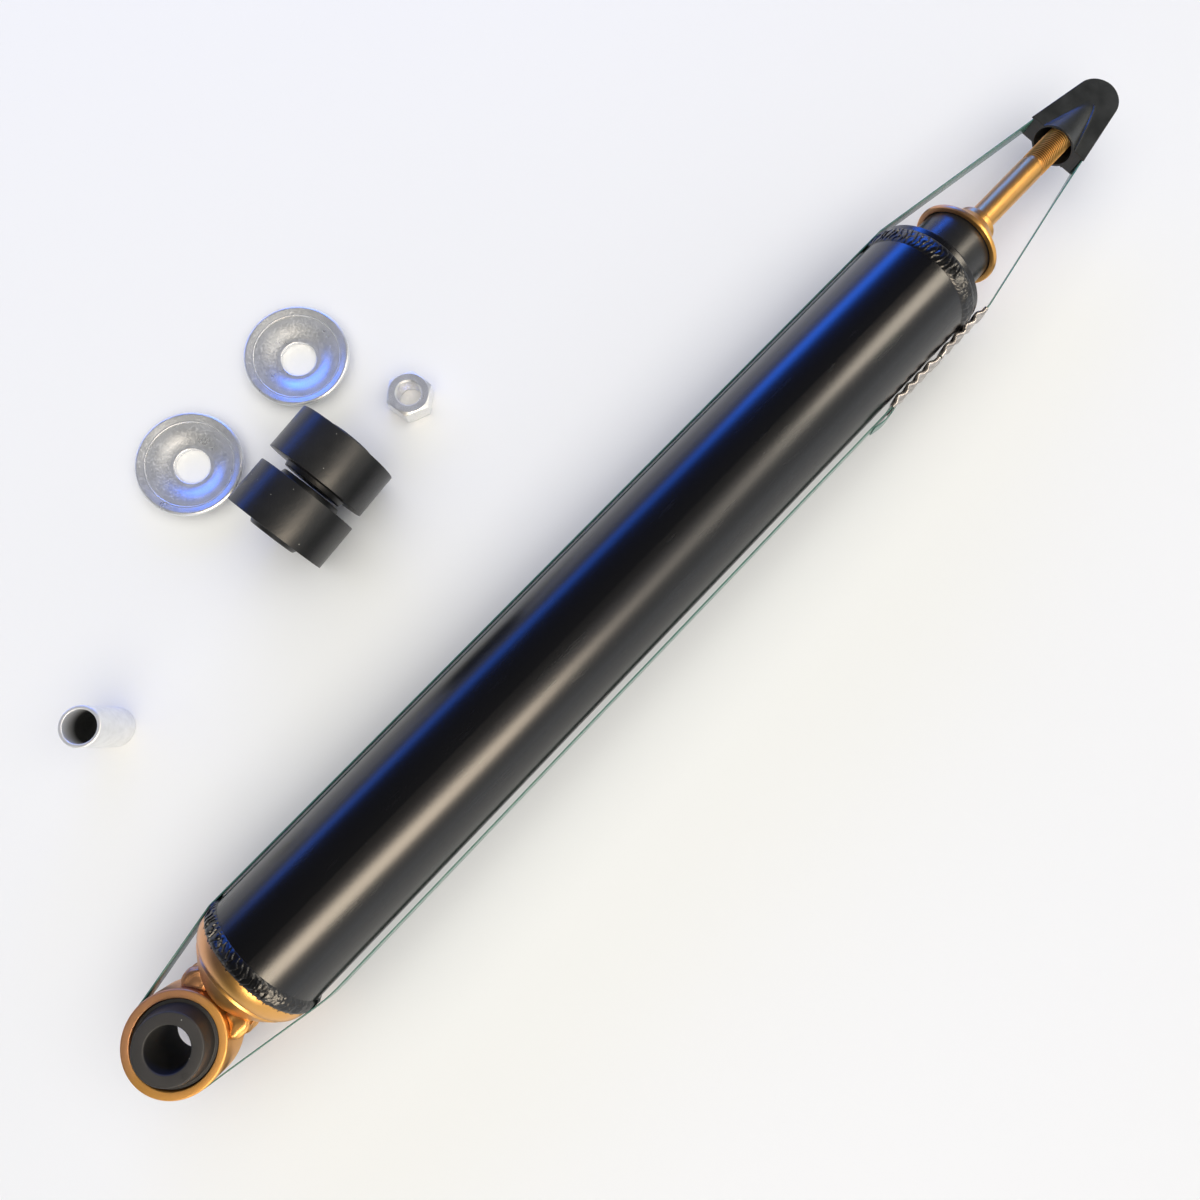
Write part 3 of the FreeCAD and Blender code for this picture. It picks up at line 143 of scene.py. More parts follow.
class EyeSettings(bpy.types.PropertyGroup):
    groove: length_setting("Groove", "Step from the eye ring's face down to the bush's cone", 0.0012)
    face_radius: length_setting("Face radius", "Radius of the bush's flat face", 0.0157)
    bore: length_setting("Bore", "Radius of the bush's bore", 0.010)
    bore_lip: length_setting("Bore lip", "Rounding at the mouth of the bore", 0.0005)
    pip_place: FloatVectorProperty(
        name="Pip", description="Place of the moulded pip on the bush's face",
        subtype="TRANSLATION", size=3, default=(-0.0019, -0.0134, 0.0172))
    pip_radius: length_setting("Pip radius", "Radius of the moulded pip", 0.0015)
    pip_height: length_setting("Pip height", "Height of the moulded pip", 0.0005)


class StemSettings(bpy.types.PropertyGroup):
    radius: length_setting("Stem radius", "Radius of the stem", 0.007)
    pitch: length_setting("Thread pitch", "Pitch of the stem's fine thread", 0.00125)
    depth: length_setting("Thread depth", "Depth of the stem's thread", 0.0007)
    thread: length_setting("Thread length", "Threaded length of the stem", 0.042)
    relief: length_setting("Relief", "Width of the groove below the thread", 0.002)
    cup_taper: length_setting(
        "Cup taper", "Straight inner wall of the upper cup, below its cone", 0.0035)
    cup_roof: length_setting("Cup roof", "Radius of the flat roof inside the upper cup", 0.015)
    cup_play: length_setting("Cup play", "Play between the upper cup and the bump stop", 0.0003)
    collar: length_setting("Collar", "Radius of the stem's collar", 0.0112)
    collar_length: length_setting("Collar length", "Length of the stem's collar", 0.0089)
    collar_foot: length_setting("Collar foot", "Collar's start to the plain stem", 0.0119)
    throat: length_setting("Throat", "Wall of the upper cup round the collar", 0.0026)
    tip_cut: length_setting("Tip cut", "Length of the chamfer at the stem's tip", 0.0015)
    plain_end: length_setting("Plain end", "Length without crests, both ends of the thread", 0.0018)
    cup_rim: length_setting("Cup rim", "Height of the upper cup's rim", 0.0022)
    bump_edge: length_setting("Bump edge", "Rounding of the bump stop's lower edge", 0.0016)


class CapSettings(bpy.types.PropertyGroup):
    proud: length_setting("Flange overhang", "How far the flanges stand out beside the strap", 0.0016)
    flange: length_setting("Flange", "Thickness of a flange", 0.0013)
    channel: length_setting("Channel", "Height of the strap channel", 0.0108)
    front_width: length_setting("Front width", "Width of the strap bed at its front", 0.033)
    tip_radius: length_setting("Tip radius", "Radius of the strap bed's tip", 0.0108)
    bulge_length: length_setting("Bulge length", "Length of the bulge round the stem", 0.0287)
    bulge: length_setting("Bulge", "Radius of the bulge at its front", 0.01225)
    bulge_hollow: length_setting("Bulge hollow", "Hollow of the bulge along its length", 0.00035)
    blend: length_setting("Blend", "Softness of the corner between bulge and flange", 0.0006)
    mouth: length_setting("Mouth", "Radius of the mouth", 0.0110)
    mouth_depth: length_setting("Mouth depth", "Depth of the tapered mouth", 0.019)
    rib: length_setting("Parting rib", "Height of the fine rib beside the bulge", 0.0008)


class StrapSettings(bpy.types.PropertyGroup):
    width: length_setting("Width", "Width of the strap", 0.0096)
    thick: length_setting("Thickness", "Thickness of the strap", 0.0007)
    clear: length_setting("Play", "Play between the strap and what it lies on", 0.00012)
    stand_off: length_setting(
        "Stand-off", "How far the strap stands off the welds on the seals' side", 0.0021)
    bow: length_setting("Bow", "Bend radius where the strap springs clear of the tube", 0.060)
    corner: length_setting("Corner", "Bend radius of the strap over an edge", 0.002)
    pitch: length_setting("Crimp pitch", "Distance between crimps", 0.008)
    depth: length_setting("Crimp depth", "Depth of a crimp", 0.0016)
    count: IntProperty(name="Crimps", description="Crimps in one seal", default=4)
    lead: length_setting("Lead", "Straight lead at each end of a seal", 0.0025)
    wall: length_setting("Seal wall", "Wall of a strap seal", 0.0007)
    lean: FloatProperty(
        name="Lean", description="Tangent of the strap's lean on the seals' side", default=0.10)
    lean_fade: length_setting(
        "Lean fade", "Length over which the lean fades at the cap and the eye", 0.03)
    tail: length_setting("Tail", "Length of the strap's free end below the seals", 0.017)


class KitSettings(bpy.types.PropertyGroup):
    washer_hole: length_setting("Washer hole", "Radius of a cup washer's hole", 0.0093)
    washer_sheet: length_setting("Washer sheet", "Thickness of a cup washer", 0.0024)
    washer_step: length_setting("Washer step", "Radius of the step inside a cup washer", 0.0229)
    washer_skirt: length_setting(
        "Washer skirt", "How much wider a cup washer's underside is than its bowl", 0.0009)
    bush_turn: FloatProperty(
        name="Bush turn", description="Direction of the stem bushes' axis",
        subtype="ANGLE", default=math.radians(6.6))
    bush_radius: length_setting("Bush radius", "Outside radius of a stem bush", 0.0272)
    bush_width: length_setting("Bush width", "Width of a stem bush between its faces", 0.0254)
    bush_hole: length_setting("Bush hole", "Radius of a stem bush's hole", 0.00725)
    boss_radius: length_setting("Boss radius", "Radius of a stem bush's locating boss", 0.0167)
    boss: length_setting("Boss", "Height of the locating boss", 0.0029)
    dome_radius: length_setting("Outer boss radius", "Radius of a stem bush's outer boss", 0.013)
    dome: length_setting("Outer boss", "Height of the outer boss", 0.0023)
    sleeve_bore: length_setting("Sleeve bore", "Radius of the eye sleeve's bore", 0.0081)
    nut_sink: length_setting("Nut countersink", "Plain ends of the nut's bore, both together", 0.0026)


class StageSettings(bpy.types.PropertyGroup):
    camera_place: FloatVectorProperty(
        name="Camera", description="Place of the camera",
        subtype="TRANSLATION", size=3, default=(0.215091, -0.031208, 0.437029))
    camera_turn: FloatVectorProperty(
        name="Camera turn", description="Direction of the camera",
        subtype="EULER", size=3, default=(0.149560, -0.035166, -0.805067))
    lens: FloatProperty(
        name="Lens", description="Focal length in millimetres on a 36 mm sensor", default=27.116)
    floor: colour_setting("Floor", "Colour of the floor", (0.90, 0.895, 0.885))
    floor_size: length_setting("Floor size", "Width of the floor", 8.0)
    horizon: FloatProperty(
        name="Horizon", description="Light from low around the object", default=0.45)
    zenith: FloatProperty(
        name="Zenith", description="Light from straight above", default=0.05)
    window_side: FloatProperty(
        name="Window side", description="Light from the walls round the windows", default=0.55)
    fill: FloatProperty(
        name="Fill", description="Brightness of the even light from above", default=1.24)


SETTINGS = {
    "damper_paint": PaintSettings,
    "damper_tube": TubeSettings,
    "damper_weld": WeldSettings,
    "damper_eye": EyeSettings,
    "damper_stem": StemSettings,
    "damper_cap": CapSettings,
    "damper_strap": StrapSettings,
    "damper_kit": KitSettings,
    "damper_stage": StageSettings,
}


def settings(name):
    return getattr(bpy.context.scene, f"damper_{name}")


# Shader nodes

class Value:
    """A number from a node, on which sums can be written."""

    def __init__(self, finish, socket):
        self.finish = finish
        self.socket = socket

    def _sum(self, operation, first, second):
        node = self.finish.node(
            "ShaderNodeMath", {"operation": operation}, {0: first, 1: second})
        return Value(self.finish, node.outputs[0])

    def __add__(self, other):
        return self._sum("ADD", self, other)

    def __radd__(self, other):
        return self._sum("ADD", other, self)

    def __sub__(self, other):
        return self._sum("SUBTRACT", self, other)

    def __rsub__(self, other):
        return self._sum("SUBTRACT", other, self)

    def __mul__(self, other):
        return self._sum("MULTIPLY", self, other)

    def __rmul__(self, other):
        return self._sum("MULTIPLY", other, self)

    def power(self, other):
        return self._sum("POWER", self, other)

    def spread(self, first, last):
        """Runs from 0 at first to 1 at last, and holds there."""
        node = self.finish.node(
            "ShaderNodeMapRange", {"clamp": True}, {0: self, 1: first, 2: last})
        return Value(self.finish, node.outputs[0])


class Finish:
    """A material with its principled shader, and one method that adds nodes."""

    def __init__(self, name):
        self.material = bpy.data.materials.new(name)
        self.material.use_nodes = True
        self.tree = self.material.node_tree
        self.shader = self.tree.nodes["Principled BSDF"]
        self.place = self.node("ShaderNodeTexCoord").outputs["Object"]

    def node(self, kind, options=None, inputs=None):
        made = self.tree.nodes.new(kind)
        for key, value in (options or {}).items():
            setattr(made, key, value)
        for key, value in (inputs or {}).items():
            self.feed(made.inputs[key], value)
        return made

    def feed(self, socket, value):
        if isinstance(value, Value):
            value = value.socket
        if isinstance(value, bpy.types.NodeSocket):
            self.tree.links.new(value, socket)
        elif socket.type == "RGBA" and len(value) == 3:
            socket.default_value = (*value, 1.0)
        else:
            socket.default_value = value

    def fixed(self, **values):
        """Sets the shader's own sockets, by their names with underscores for spaces."""
        for name, value in values.items():
            self.feed(self.shader.inputs[name.replace("_", " ")], value)

    def stretched(self, scale, offset=(0.0, 0.0, 0.0)):
        """The place on the object, stretched by a scale along each axis."""
        return self.node(
            "ShaderNodeMapping", None,
            {"Vector": self.place, "Location": offset, "Scale": scale}).outputs[0]

    def noise(self, scale, detail, rough, place=None):
        node = self.node(
            "ShaderNodeTexNoise", None,
            {"Vector": place or self.place, "Scale": scale, "Detail": detail,
             "Roughness": rough})
        return Value(self, node.outputs["Fac"])

    def cells(self, scale):
        return self.node(
            "ShaderNodeTexVoronoi", {"feature": "F1"}, {"Vector": self.place, "Scale": scale})

    def along(self, axis):
        node = self.node("ShaderNodeSeparateXYZ", None, {0: self.place})
        return Value(self, node.outputs[axis])

    def mixed(self, share, first, second):
        node = self.node(
            "ShaderNodeMix", {"data_type": "RGBA"}, {0: share, 6: first, 7: second})
        return node.outputs[2]

    def bump(self, height, distance, strength):
        inputs = {"Height": height, "Distance": distance, "Strength": strength}
        return self.node("ShaderNodeBump", None, inputs).outputs[0]


def tinted(colour, share):
    """The colour, paler or darker by a share."""
    return tuple(part * share for part in colour)


def black_paint():
    """Gloss paint with a faint orange peel, scuffs and a few dull smears."""
    finish = Finish("black_paint")
    colour = settings("paint").black
    peel = finish.noise(900.0, 2.0, 0.5)
    broad = finish.noise(9.0, 3.0, 0.6)
    scuff_place = finish.stretched((22.0, 160.0, 160.0))
    scuffs = finish.noise(1.0, 5.0, 0.7, scuff_place).spread(0.60, 0.78)
    smears = finish.noise(34.0, 4.0, 0.62, finish.stretched((1.0, 1.6, 1.6))).spread(0.66, 0.74)
    side = finish.along(1).spread(-0.006, -0.030)
    dull = scuffs * 0.35 + smears * side
    finish.fixed(
        Base_Color=finish.mixed(dull * 0.6, colour, tinted(colour, 3.2)),
        Roughness=0.235 + broad * 0.05 + dull * 0.16,
        IOR=1.6,
        Normal=finish.bump(peel + scuffs * 0.3, 0.00002, 0.5))
    return finish.material


def weld_paint():
    """Paint over a weld: the same black, worn a little in patches."""
    finish = Finish("weld_paint")
    colour = settings("paint").black
    grit = finish.noise(1500.0, 3.0, 0.6)
    worn = finish.noise(420.0, 3.0, 0.6).spread(0.55, 0.75)
    finish.fixed(
        Base_Color=finish.mixed(worn * 0.5, colour, tinted(colour, 5.0)),
        Roughness=0.28 + worn * 0.16,
        IOR=1.6,
        Normal=finish.bump(grit, 0.00004, 0.6))
    return finish.material


def gold_plating(name, rough, oversprayed_from=None, threaded_from=None):
    """Yellow zinc with pink and amber clouds, a painted pink reflection on its +Y side, black
    overspray, and painted shade in a thread's roots.
    """
    finish = Finish(name)
    paint = settings("paint")
    clouds = finish.noise(26.0, 4.0, 0.6).spread(0.35, 0.72)
    amber = finish.noise(75.0, 3.0, 0.6).spread(0.5, 0.85)
    grain = finish.noise(2400.0, 2.0, 0.6)
    # Pink: random clouds of tint, plus a painted reflection that grows towards +Y
    pink_and_painted_reflection = clouds * 0.20 + finish.along(1).spread(-0.001, 0.012) * 0.55
    gold = finish.mixed(pink_and_painted_reflection, paint.gold, paint.gold_pink_and_painted_reflection)
    gold = finish.mixed(amber * 0.35, gold, tinted(paint.gold, 0.62))
    rough = rough + clouds * 0.08 + grain * 0.05
    metal = 0.94
    if threaded_from is not None:
        stem = settings("stem")
        y, z = finish.along(1), finish.along(2)
        # Painted shade in the thread's roots, from the relief onwards
        root = (y * y + z * z).power(0.5).spread(
            stem.radius - stem.depth * 0.35, stem.radius - stem.depth * 0.8)
        root = root * finish.along(0).spread(threaded_from, threaded_from + stem.relief)
        gold = finish.mixed(root * 0.85, gold, tinted(paint.gold, 0.16))
    if oversprayed_from is not None:
        ragged = finish.noise(430.0, 5.0, 0.72, finish.stretched((0.35, 1.0, 1.0)))
        reach = finish.along(0) + (ragged - 0.5) * 0.0085
        covered = reach.spread(oversprayed_from, oversprayed_from + 0.00035)
        gold = finish.mixed(covered, gold, paint.black)
        rough = rough + covered * 0.06
        metal = metal - covered * metal
    finish.fixed(
        Base_Color=gold, Roughness=rough, Metallic=metal,
        Normal=finish.bump(grain, 0.00003, 0.55))
    return finish.material


def bright_zinc():
    """Bright zinc with a fine grey and white speckle."""
    finish = Finish("bright_zinc")
    colour = settings("paint").zinc
    grain = finish.noise(1300.0, 3.0, 0.7)
    clouds = finish.noise(90.0, 3.0, 0.6)
    speck = grain.spread(0.46, 0.66)
    finish.fixed(
        Base_Color=finish.mixed(speck * 0.35, colour, tinted(colour, 0.62)),
        Roughness=0.24 + clouds * 0.10 + speck * 0.14,
        Metallic=0.88 - clouds * 0.12 - speck * 0.30,
        Normal=finish.bump(grain + clouds, 0.00004, 0.5))
    return finish.material


def dull_zinc(node):
    """The sleeve's matt zinc, drawn along its length, less metallic in its bore, with painted shade
    deep in the bore.
    """
    finish = Finish("dull_zinc")
    colour = settings("paint").zinc
    bore = settings("kit").sleeve_bore
    drawn = finish.noise(1.0, 3.0, 0.6, finish.stretched((900.0, 900.0, 60.0)))
    blotch = finish.noise(220.0, 3.0, 0.6).spread(0.4, 0.7)
    off_axis = finish.stretched((1.0, 1.0, 0.0), (-middle(node, 0), -middle(node, 1), 0.0))
    out = finish.node("ShaderNodeVectorMath", {"operation": "LENGTH"}, {0: off_axis})
    inside = Value(finish, out.outputs["Value"]).spread(bore + 0.0005, bore + 0.0002)
    # Painted shade inside the bore, darker further down from the top
    dark = inside * finish.along(2).spread(high(node, 2) - 0.001, high(node, 2) - 0.012)
    zinc = finish.mixed(blotch * 0.4, colour, tinted(colour, 0.78))
    finish.fixed(
        Base_Color=finish.mixed(dark, zinc, tinted(colour, 0.03)),
        Roughness=0.38 + blotch * 0.12,
        Metallic=0.70 - inside * 0.3,
        Normal=finish.bump(drawn, 0.00004, 0.5))
    return finish.material


def rubber(name, colour, rough, specks, bore=None):
    """Black rubber with a soft bloom, a few pale specks and, where it has one, painted shade in its
    bore.
    """
    finish = Finish(name)
    bloom = finish.noise(38.0, 4.0, 0.6).spread(0.35, 0.75)
    skin = finish.noise(900.0, 5.0, 0.7)
    cells = finish.cells(240.0)
    distance = Value(finish, cells.outputs["Distance"])
    chosen = finish.node(
        "ShaderNodeSeparateColor", None, {0: cells.outputs["Color"]}).outputs[0]
    rare = Value(finish, chosen).spread(1.0 - specks, 1.0 - specks + 0.01)
    speck = distance.spread(0.085, 0.05) * rare
    base = finish.mixed(bloom * 0.5, colour, tinted(colour, 1.9))
    rough = rough + bloom * 0.08
    if bore is not None:
        # Painted shade: the bore's wall is darkened
        x, y = finish.along(0), finish.along(1)
        inside = (x * x + y * y).power(0.5).spread(bore + 0.0003, bore)
        base = finish.mixed(inside, base, tinted(colour, 0.2))
        rough = rough + inside * 0.35
    finish.fixed(
        Base_Color=finish.mixed(speck, base, (0.42, 0.40, 0.36)),
        Roughness=rough,
        Normal=finish.bump(skin, 0.00009, 0.7))
    return finish.material


def cap_plastic():
    finish = Finish("cap_plastic")
    colour = settings("paint").plastic
    cloud = finish.noise(90.0, 4.0, 0.6).spread(0.35, 0.7)
    skin = finish.noise(1600.0, 3.0, 0.6)
    finish.fixed(
        Base_Color=finish.mixed(cloud * 0.7, colour, tinted(colour, 1.9)),
        Roughness=0.28 + cloud * 0.12,
        Normal=finish.bump(skin + cloud * 0.6, 0.00006, 0.5))
    return finish.material


def strap_green():
    """Green polyester with a fine embossed rib along its length."""
    finish = Finish("strap_green")
    colour = settings("paint").strap
    cloud = finish.noise(60.0, 3.0, 0.6)
    emboss = finish.node(
        "ShaderNodeTexWave", {"wave_type": "BANDS", "bands_direction": "Z"},
        {"Vector": finish.place, "Scale": 260.0, "Distortion": 0.6})
    ridge = Value(finish, emboss.outputs["Fac"])
    finish.fixed(
        Base_Color=finish.mixed(cloud * 0.5, colour, tinted(colour, 1.7)),
        Roughness=0.14 + cloud * 0.08,
        IOR=1.58,
        Normal=finish.bump(ridge, 0.00005, 0.5))
    return finish.material


def seal_steel():
    """Dark blued steel, rubbed bright in patches."""
    finish = Finish("seal_steel")
    colour = settings("paint").seal
    rubbed = finish.noise(260.0, 4.0, 0.65).spread(0.42, 0.68)
    grain = finish.noise(1800.0, 2.0, 0.6)
    finish.fixed(
        Base_Color=finish.mixed(rubbed, colour, tinted(colour, 1.9)),
        Roughness=0.30 + grain * 0.12,
        Metallic=1.0,
        Normal=finish.bump(grain, 0.00004, 0.5))
    return finish.material


def turned_metal(name, colour, rough, pores=0.0):
    """A turned, ground or sintered metal with its tool marks round the axis."""
    finish = Finish(name)
    marks = finish.noise(1.0, 3.0, 0.6, finish.stretched((2600.0, 120.0, 120.0)))
    pore = finish.noise(1900.0, 2.0, 0.6).spread(0.62, 0.75) * pores
    finish.fixed(
        Base_Color=finish.mixed(pore, colour, tinted(colour, 0.45)),
        Roughness=rough + marks * 0.08 + pore * 0.2,
        Metallic=1.0,
        Normal=finish.bump(marks - pore, 0.00003, 0.5))
    return finish.material


def band_plastic():
    finish = Finish("band_plastic")
    grain = finish.noise(1200.0, 3.0, 0.6)
    finish.fixed(
        Base_Color=finish.mixed(grain, (0.09, 0.055, 0.035), (0.14, 0.09, 0.06)),
        Roughness=0.42 + grain * 0.1,
        Normal=finish.bump(grain, 0.00003, 0.5))
    return finish.material


FINISHES = {}


def mix_finishes():
    paint = settings("paint")
    FINISHES.update({
        "black_paint": black_paint(),
        "weld_paint": weld_paint(),
        "gold_zinc": gold_plating("gold_zinc", 0.33),
        "gold_turned": gold_plating("gold_turned", 0.42),
        "gold_threaded": gold_plating(
            "gold_threaded", 0.34,
            threaded_from=high("mount_stem") - settings("stem").thread),
        "gold_oversprayed": gold_plating("gold_oversprayed", 0.28, low("base_weld")),
        "bright_zinc": bright_zinc(),
        "dull_zinc": dull_zinc("eye_sleeve"),
        "rubber": rubber("rubber", tuple(paint.bump_rubber), 0.31, 0.22),
        "eye_rubber": rubber("eye_rubber", tuple(paint.rubber), 0.50, 0.05, settings("eye").bore),
        "bump_rubber": rubber("bump_rubber", tuple(paint.bump_rubber), 0.27, 0.0),
        "cap_plastic": cap_plastic(),
        "strap_green": strap_green(),
        "seal_steel": seal_steel(),
        "hard_chrome": turned_metal("hard_chrome", (0.72, 0.73, 0.75), 0.08),
        "plain_steel": turned_metal("plain_steel", (0.46, 0.46, 0.47), 0.28),
        "sintered_iron": turned_metal("sintered_iron", (0.30, 0.29, 0.28), 0.42, 1.0),
        "bronze": turned_metal("bronze", (0.66, 0.43, 0.22), 0.28),
        "band_plastic": band_plastic(),
    })


# Meshes

def add_object(name, data):
    """A new object in the scene, for a mesh, a lamp or a camera."""
    piece = bpy.data.objects.new(name, data)
    bpy.context.scene.collection.objects.link(piece)
    return piece


def discard(piece):
    """Removes an object and its mesh."""
    mesh = piece.data
    bpy.data.objects.remove(piece)
    bpy.data.meshes.remove(mesh)


def rounded(outline):
    """A closed outline with its marked corners rounded. A point is (along, out, radius)."""
    points = []
    count = len(outline)
    for i, corner in enumerate(outline):
        here = Vector(corner[:2])
        if len(corner) == 2:
            points.append(here)
            continue
        back = Vector(outline[i - 1][:2]) - here
        on = Vector(outline[(i + 1) % count][:2]) - here
        half = back.angle(on) / 2
        reach = min(corner[2] / math.tan(half), back.length / 2.01, on.length / 2.01)
        first = here + back.normalized() * reach
        last = here + on.normalized() * reach
        centre_way = (back.normalized() + on.normalized()).normalized()
        centre = here + centre_way * (reach / math.cos(half))
        sweep = (first - centre).angle_signed(last - centre)
        for step in range(CORNER_STEPS + 1):
            arm = first - centre
            arm.rotate(Matrix.Rotation(-sweep * step / CORNER_STEPS, 2))
            points.append(centre + arm)
    return points


def bulged(start, end, rise, steps=10):
    """Points between start and end on an arc that bulges outwards by its rise."""
    start, end = Vector(start), Vector(end)
    way = end - start
    side = Vector((-way.y, way.x)).normalized()
    radius = (way.length_squared / 4 + rise * rise) / (2 * rise)
    centre = (start + end) / 2 + side * (rise - radius)
    half = math.asin(way.length / 2 / radius)
    lead = math.atan2(side.y, side.x)
    turned = [lead + half - 2 * half * step / steps for step in range(1, steps)]
    return [tuple(centre + Vector((math.cos(a), math.sin(a))) * radius) for a in turned]


def new_piece(name, verts, faces, finish):
    """A closed, outward-facing, smooth-shaded mesh object with its finish."""
    mesh = bpy.data.meshes.new(name)
    mesh.from_pydata(verts, [], faces)
    return dress(name, mesh, finish)


def dress(name, mesh, finish, sharp=32.0):
    work = bmesh.new()
    work.from_mesh(mesh)
    bmesh.ops.remove_doubles(work, verts=work.verts, dist=1e-7)
    bmesh.ops.recalc_face_normals(work, faces=work.faces)
    work.to_mesh(mesh)
    work.free()
    mesh.shade_smooth()
    mesh.set_sharp_from_angle(angle=math.radians(sharp))
    mesh.materials.clear()
    mesh.materials.append(FINISHES[finish])
    return add_object(name, mesh)


def turned_mesh(outline, axis=ALONG, centre=(0.0, 0.0, 0.0), turn=0.0, steps=FINE):
    """The corners and faces of a closed outline of (along, out), turned about an axis."""
    verts, faces, rings = [], [], []
    place = Matrix.Translation(centre) @ Matrix.Rotation(turn, 4, "Z")
    for point in outline:
        along, out = point[0], max(point[1], 0.0)
        ring = []
        for step in range(steps if out > 0 else 1):
            angle = 2 * math.pi * step / steps
            side, rise = out * math.cos(angle), out * math.sin(angle)
            spot = (along, side, rise) if axis == ALONG else (side, rise, along)
            ring.append(len(verts))
            verts.append(place @ Vector(spot))
        rings.append(ring)
    for i, ring in enumerate(rings):
        before = rings[i - 1]
        if len(ring) == 1 and len(before) == 1:
            continue
        for step in range(steps):
            following = (step + 1) % steps
            corners = [before[step % len(before)], before[following % len(before)],
                       ring[following % len(ring)], ring[step % len(ring)]]
            faces.append(list(dict.fromkeys(corners)))
    return verts, faces


def turned_piece(name, outline, finish, **ways):
    verts, faces = turned_mesh(outline, **ways)
    return new_piece(name, verts, faces, finish)


def joined(name, pieces, finish, sharp=32.0):
    """One piece made of several closed shells."""
    work = bmesh.new()
    for piece in pieces:
        work.from_mesh(piece.data)
        discard(piece)
    mesh = bpy.data.meshes.new(name)
    work.to_mesh(mesh)
    work.free()
    return dress(name, mesh, finish, sharp)


def with_modifiers(piece, finish, sharp=32.0):
    """The piece with its modifiers worked into its mesh."""
    name = piece.name
    shape = piece.evaluated_get(bpy.context.evaluated_depsgraph_get())
    mesh = bpy.data.meshes.new_from_object(shape)
    discard(piece)
    return dress(name, mesh, finish, sharp)


def stands_for(piece, body, slot, *nodes):
    """Lets a piece ride on its body in the place of its nodes."""
    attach(piece, body)
    if nodes:
        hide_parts(*nodes)
    return piece


# Geometry node trees

class Tree:
    """A geometry node tree with named inputs, and one method that adds nodes."""

    def __init__(self, name, inputs):
        self.tree = bpy.data.node_groups.new(name, "GeometryNodeTree")
        face = self.tree.interface
        face.new_socket("Geometry", in_out="INPUT", socket_type="NodeSocketGeometry")
        for label, kind in inputs:
            face.new_socket(label, in_out="INPUT", socket_type=f"NodeSocket{kind}")
        face.new_socket("Geometry", in_out="OUTPUT", socket_type="NodeSocketGeometry")
        self.given = self.tree.nodes.new("NodeGroupInput").outputs
        self.result = self.tree.nodes.new("NodeGroupOutput")

    def node(self, kind, options=None, inputs=None):
        made = self.tree.nodes.new(kind)
        for key, value in (options or {}).items():
            setattr(made, key, value)
        for key, value in (inputs or {}).items():
            if isinstance(value, bpy.types.NodeSocket):
                self.tree.links.new(value, made.inputs[key])
            else:
                made.inputs[key].default_value = value
        return made.outputs[0]

    def sum(self, operation, first, second=0.0):
        return self.node("ShaderNodeMath", {"operation": operation}, {0: first, 1: second})

    def vector(self, x, y, z):
        return self.node("ShaderNodeCombineXYZ", None, {0: x, 1: y, 2: z})

    def parts(self, vector):
        first = self.node("ShaderNodeSeparateXYZ", None, {0: vector})
        return first.node.outputs

    def end_with(self, geometry):
        solid = self.node("GeometryNodeRealizeInstances", None, {0: geometry})
        solid = self.node(
            "GeometryNodeSetMaterial", None,
            {"Geometry": solid, "Material": self.given["Finish"]})
        self.tree.links.new(solid, self.result.inputs[0])

    def grow(self, name, values, finish, verts=(), edges=(), faces=(), sharp=32.0):
        """The plain mesh that the tree gives for these inputs."""
        mesh = bpy.data.meshes.new(name)
        mesh.from_pydata(list(verts), list(edges), list(faces))
        seedling = add_object(name, mesh)
        modifier = seedling.modifiers.new("Nodes", "NODES")
        modifier.node_group = self.tree
        values = dict(values, Finish=FINISHES[finish])
        for item in self.tree.interface.items_tree:
            if item.in_out == "INPUT" and item.name in values:
                modifier[item.identifier] = values[item.name]
        return with_modifiers(seedling, finish, sharp)


def weld_tree():
    """Bowed ripples, each lapping the one before, pushed out of a plain bead."""
    tree = Tree("WeldRipples", [
        ("Radius", "Float"), ("Middle", "Float"), ("Half Width", "Float"), ("Pitch", "Float"),
        ("Depth", "Float"), ("Bow", "Float"), ("Unevenness", "Float"), ("Seed", "Float"),
        ("Finish", "Material")])
    given = tree.given
    place = tree.node("GeometryNodeInputPosition")
    x, y, z = tree.parts(place)

    def wander(scale, salt):
        return tree.sum("SUBTRACT", tree.node(
            "ShaderNodeTexNoise", {"noise_dimensions": "4D"},
            {"Vector": place, "W": tree.sum("ADD", given["Seed"], salt), "Scale": scale,
             "Detail": 2.0}), 0.5)

    across = tree.sum("DIVIDE", tree.sum("SUBTRACT", x, given["Middle"]), given["Half Width"])
    square = tree.sum("MULTIPLY", across, across)
    fade = tree.sum("MAXIMUM", tree.sum("SUBTRACT", 1.0, tree.sum("MULTIPLY", square, square)))
    length = tree.sum("MULTIPLY", tree.sum("ARCTAN2", z, y), given["Radius"])
    phase = tree.sum("DIVIDE", length, given["Pitch"])
    phase = tree.sum("ADD", phase, tree.sum("MULTIPLY", square, given["Bow"]))
    phase = tree.sum("ADD", phase, tree.sum("MULTIPLY", wander(170.0, 1.0), 2.2))
    lap = tree.sum("POWER", tree.sum("FRACT", phase), 0.6)
    height = tree.sum("MULTIPLY", lap, given["Depth"])
    height = tree.sum("MULTIPLY", height, tree.sum("ADD", 1.0, wander(120.0, 2.0)))
    height = tree.sum(
        "ADD", height, tree.sum("MULTIPLY", wander(260.0, 3.0), given["Unevenness"]))
    height = tree.sum("MULTIPLY", height, fade)
    outwards = tree.node(
        "ShaderNodeVectorMath", {"operation": "NORMALIZE"}, {0: tree.vector(0.0, y, z)})
    push = tree.node("ShaderNodeVectorMath", {"operation": "SCALE"}, {0: outwards, 3: height})
    tree.end_with(tree.node(
        "GeometryNodeSetPosition", None, {"Geometry": given["Geometry"], "Offset": push}))
    return tree


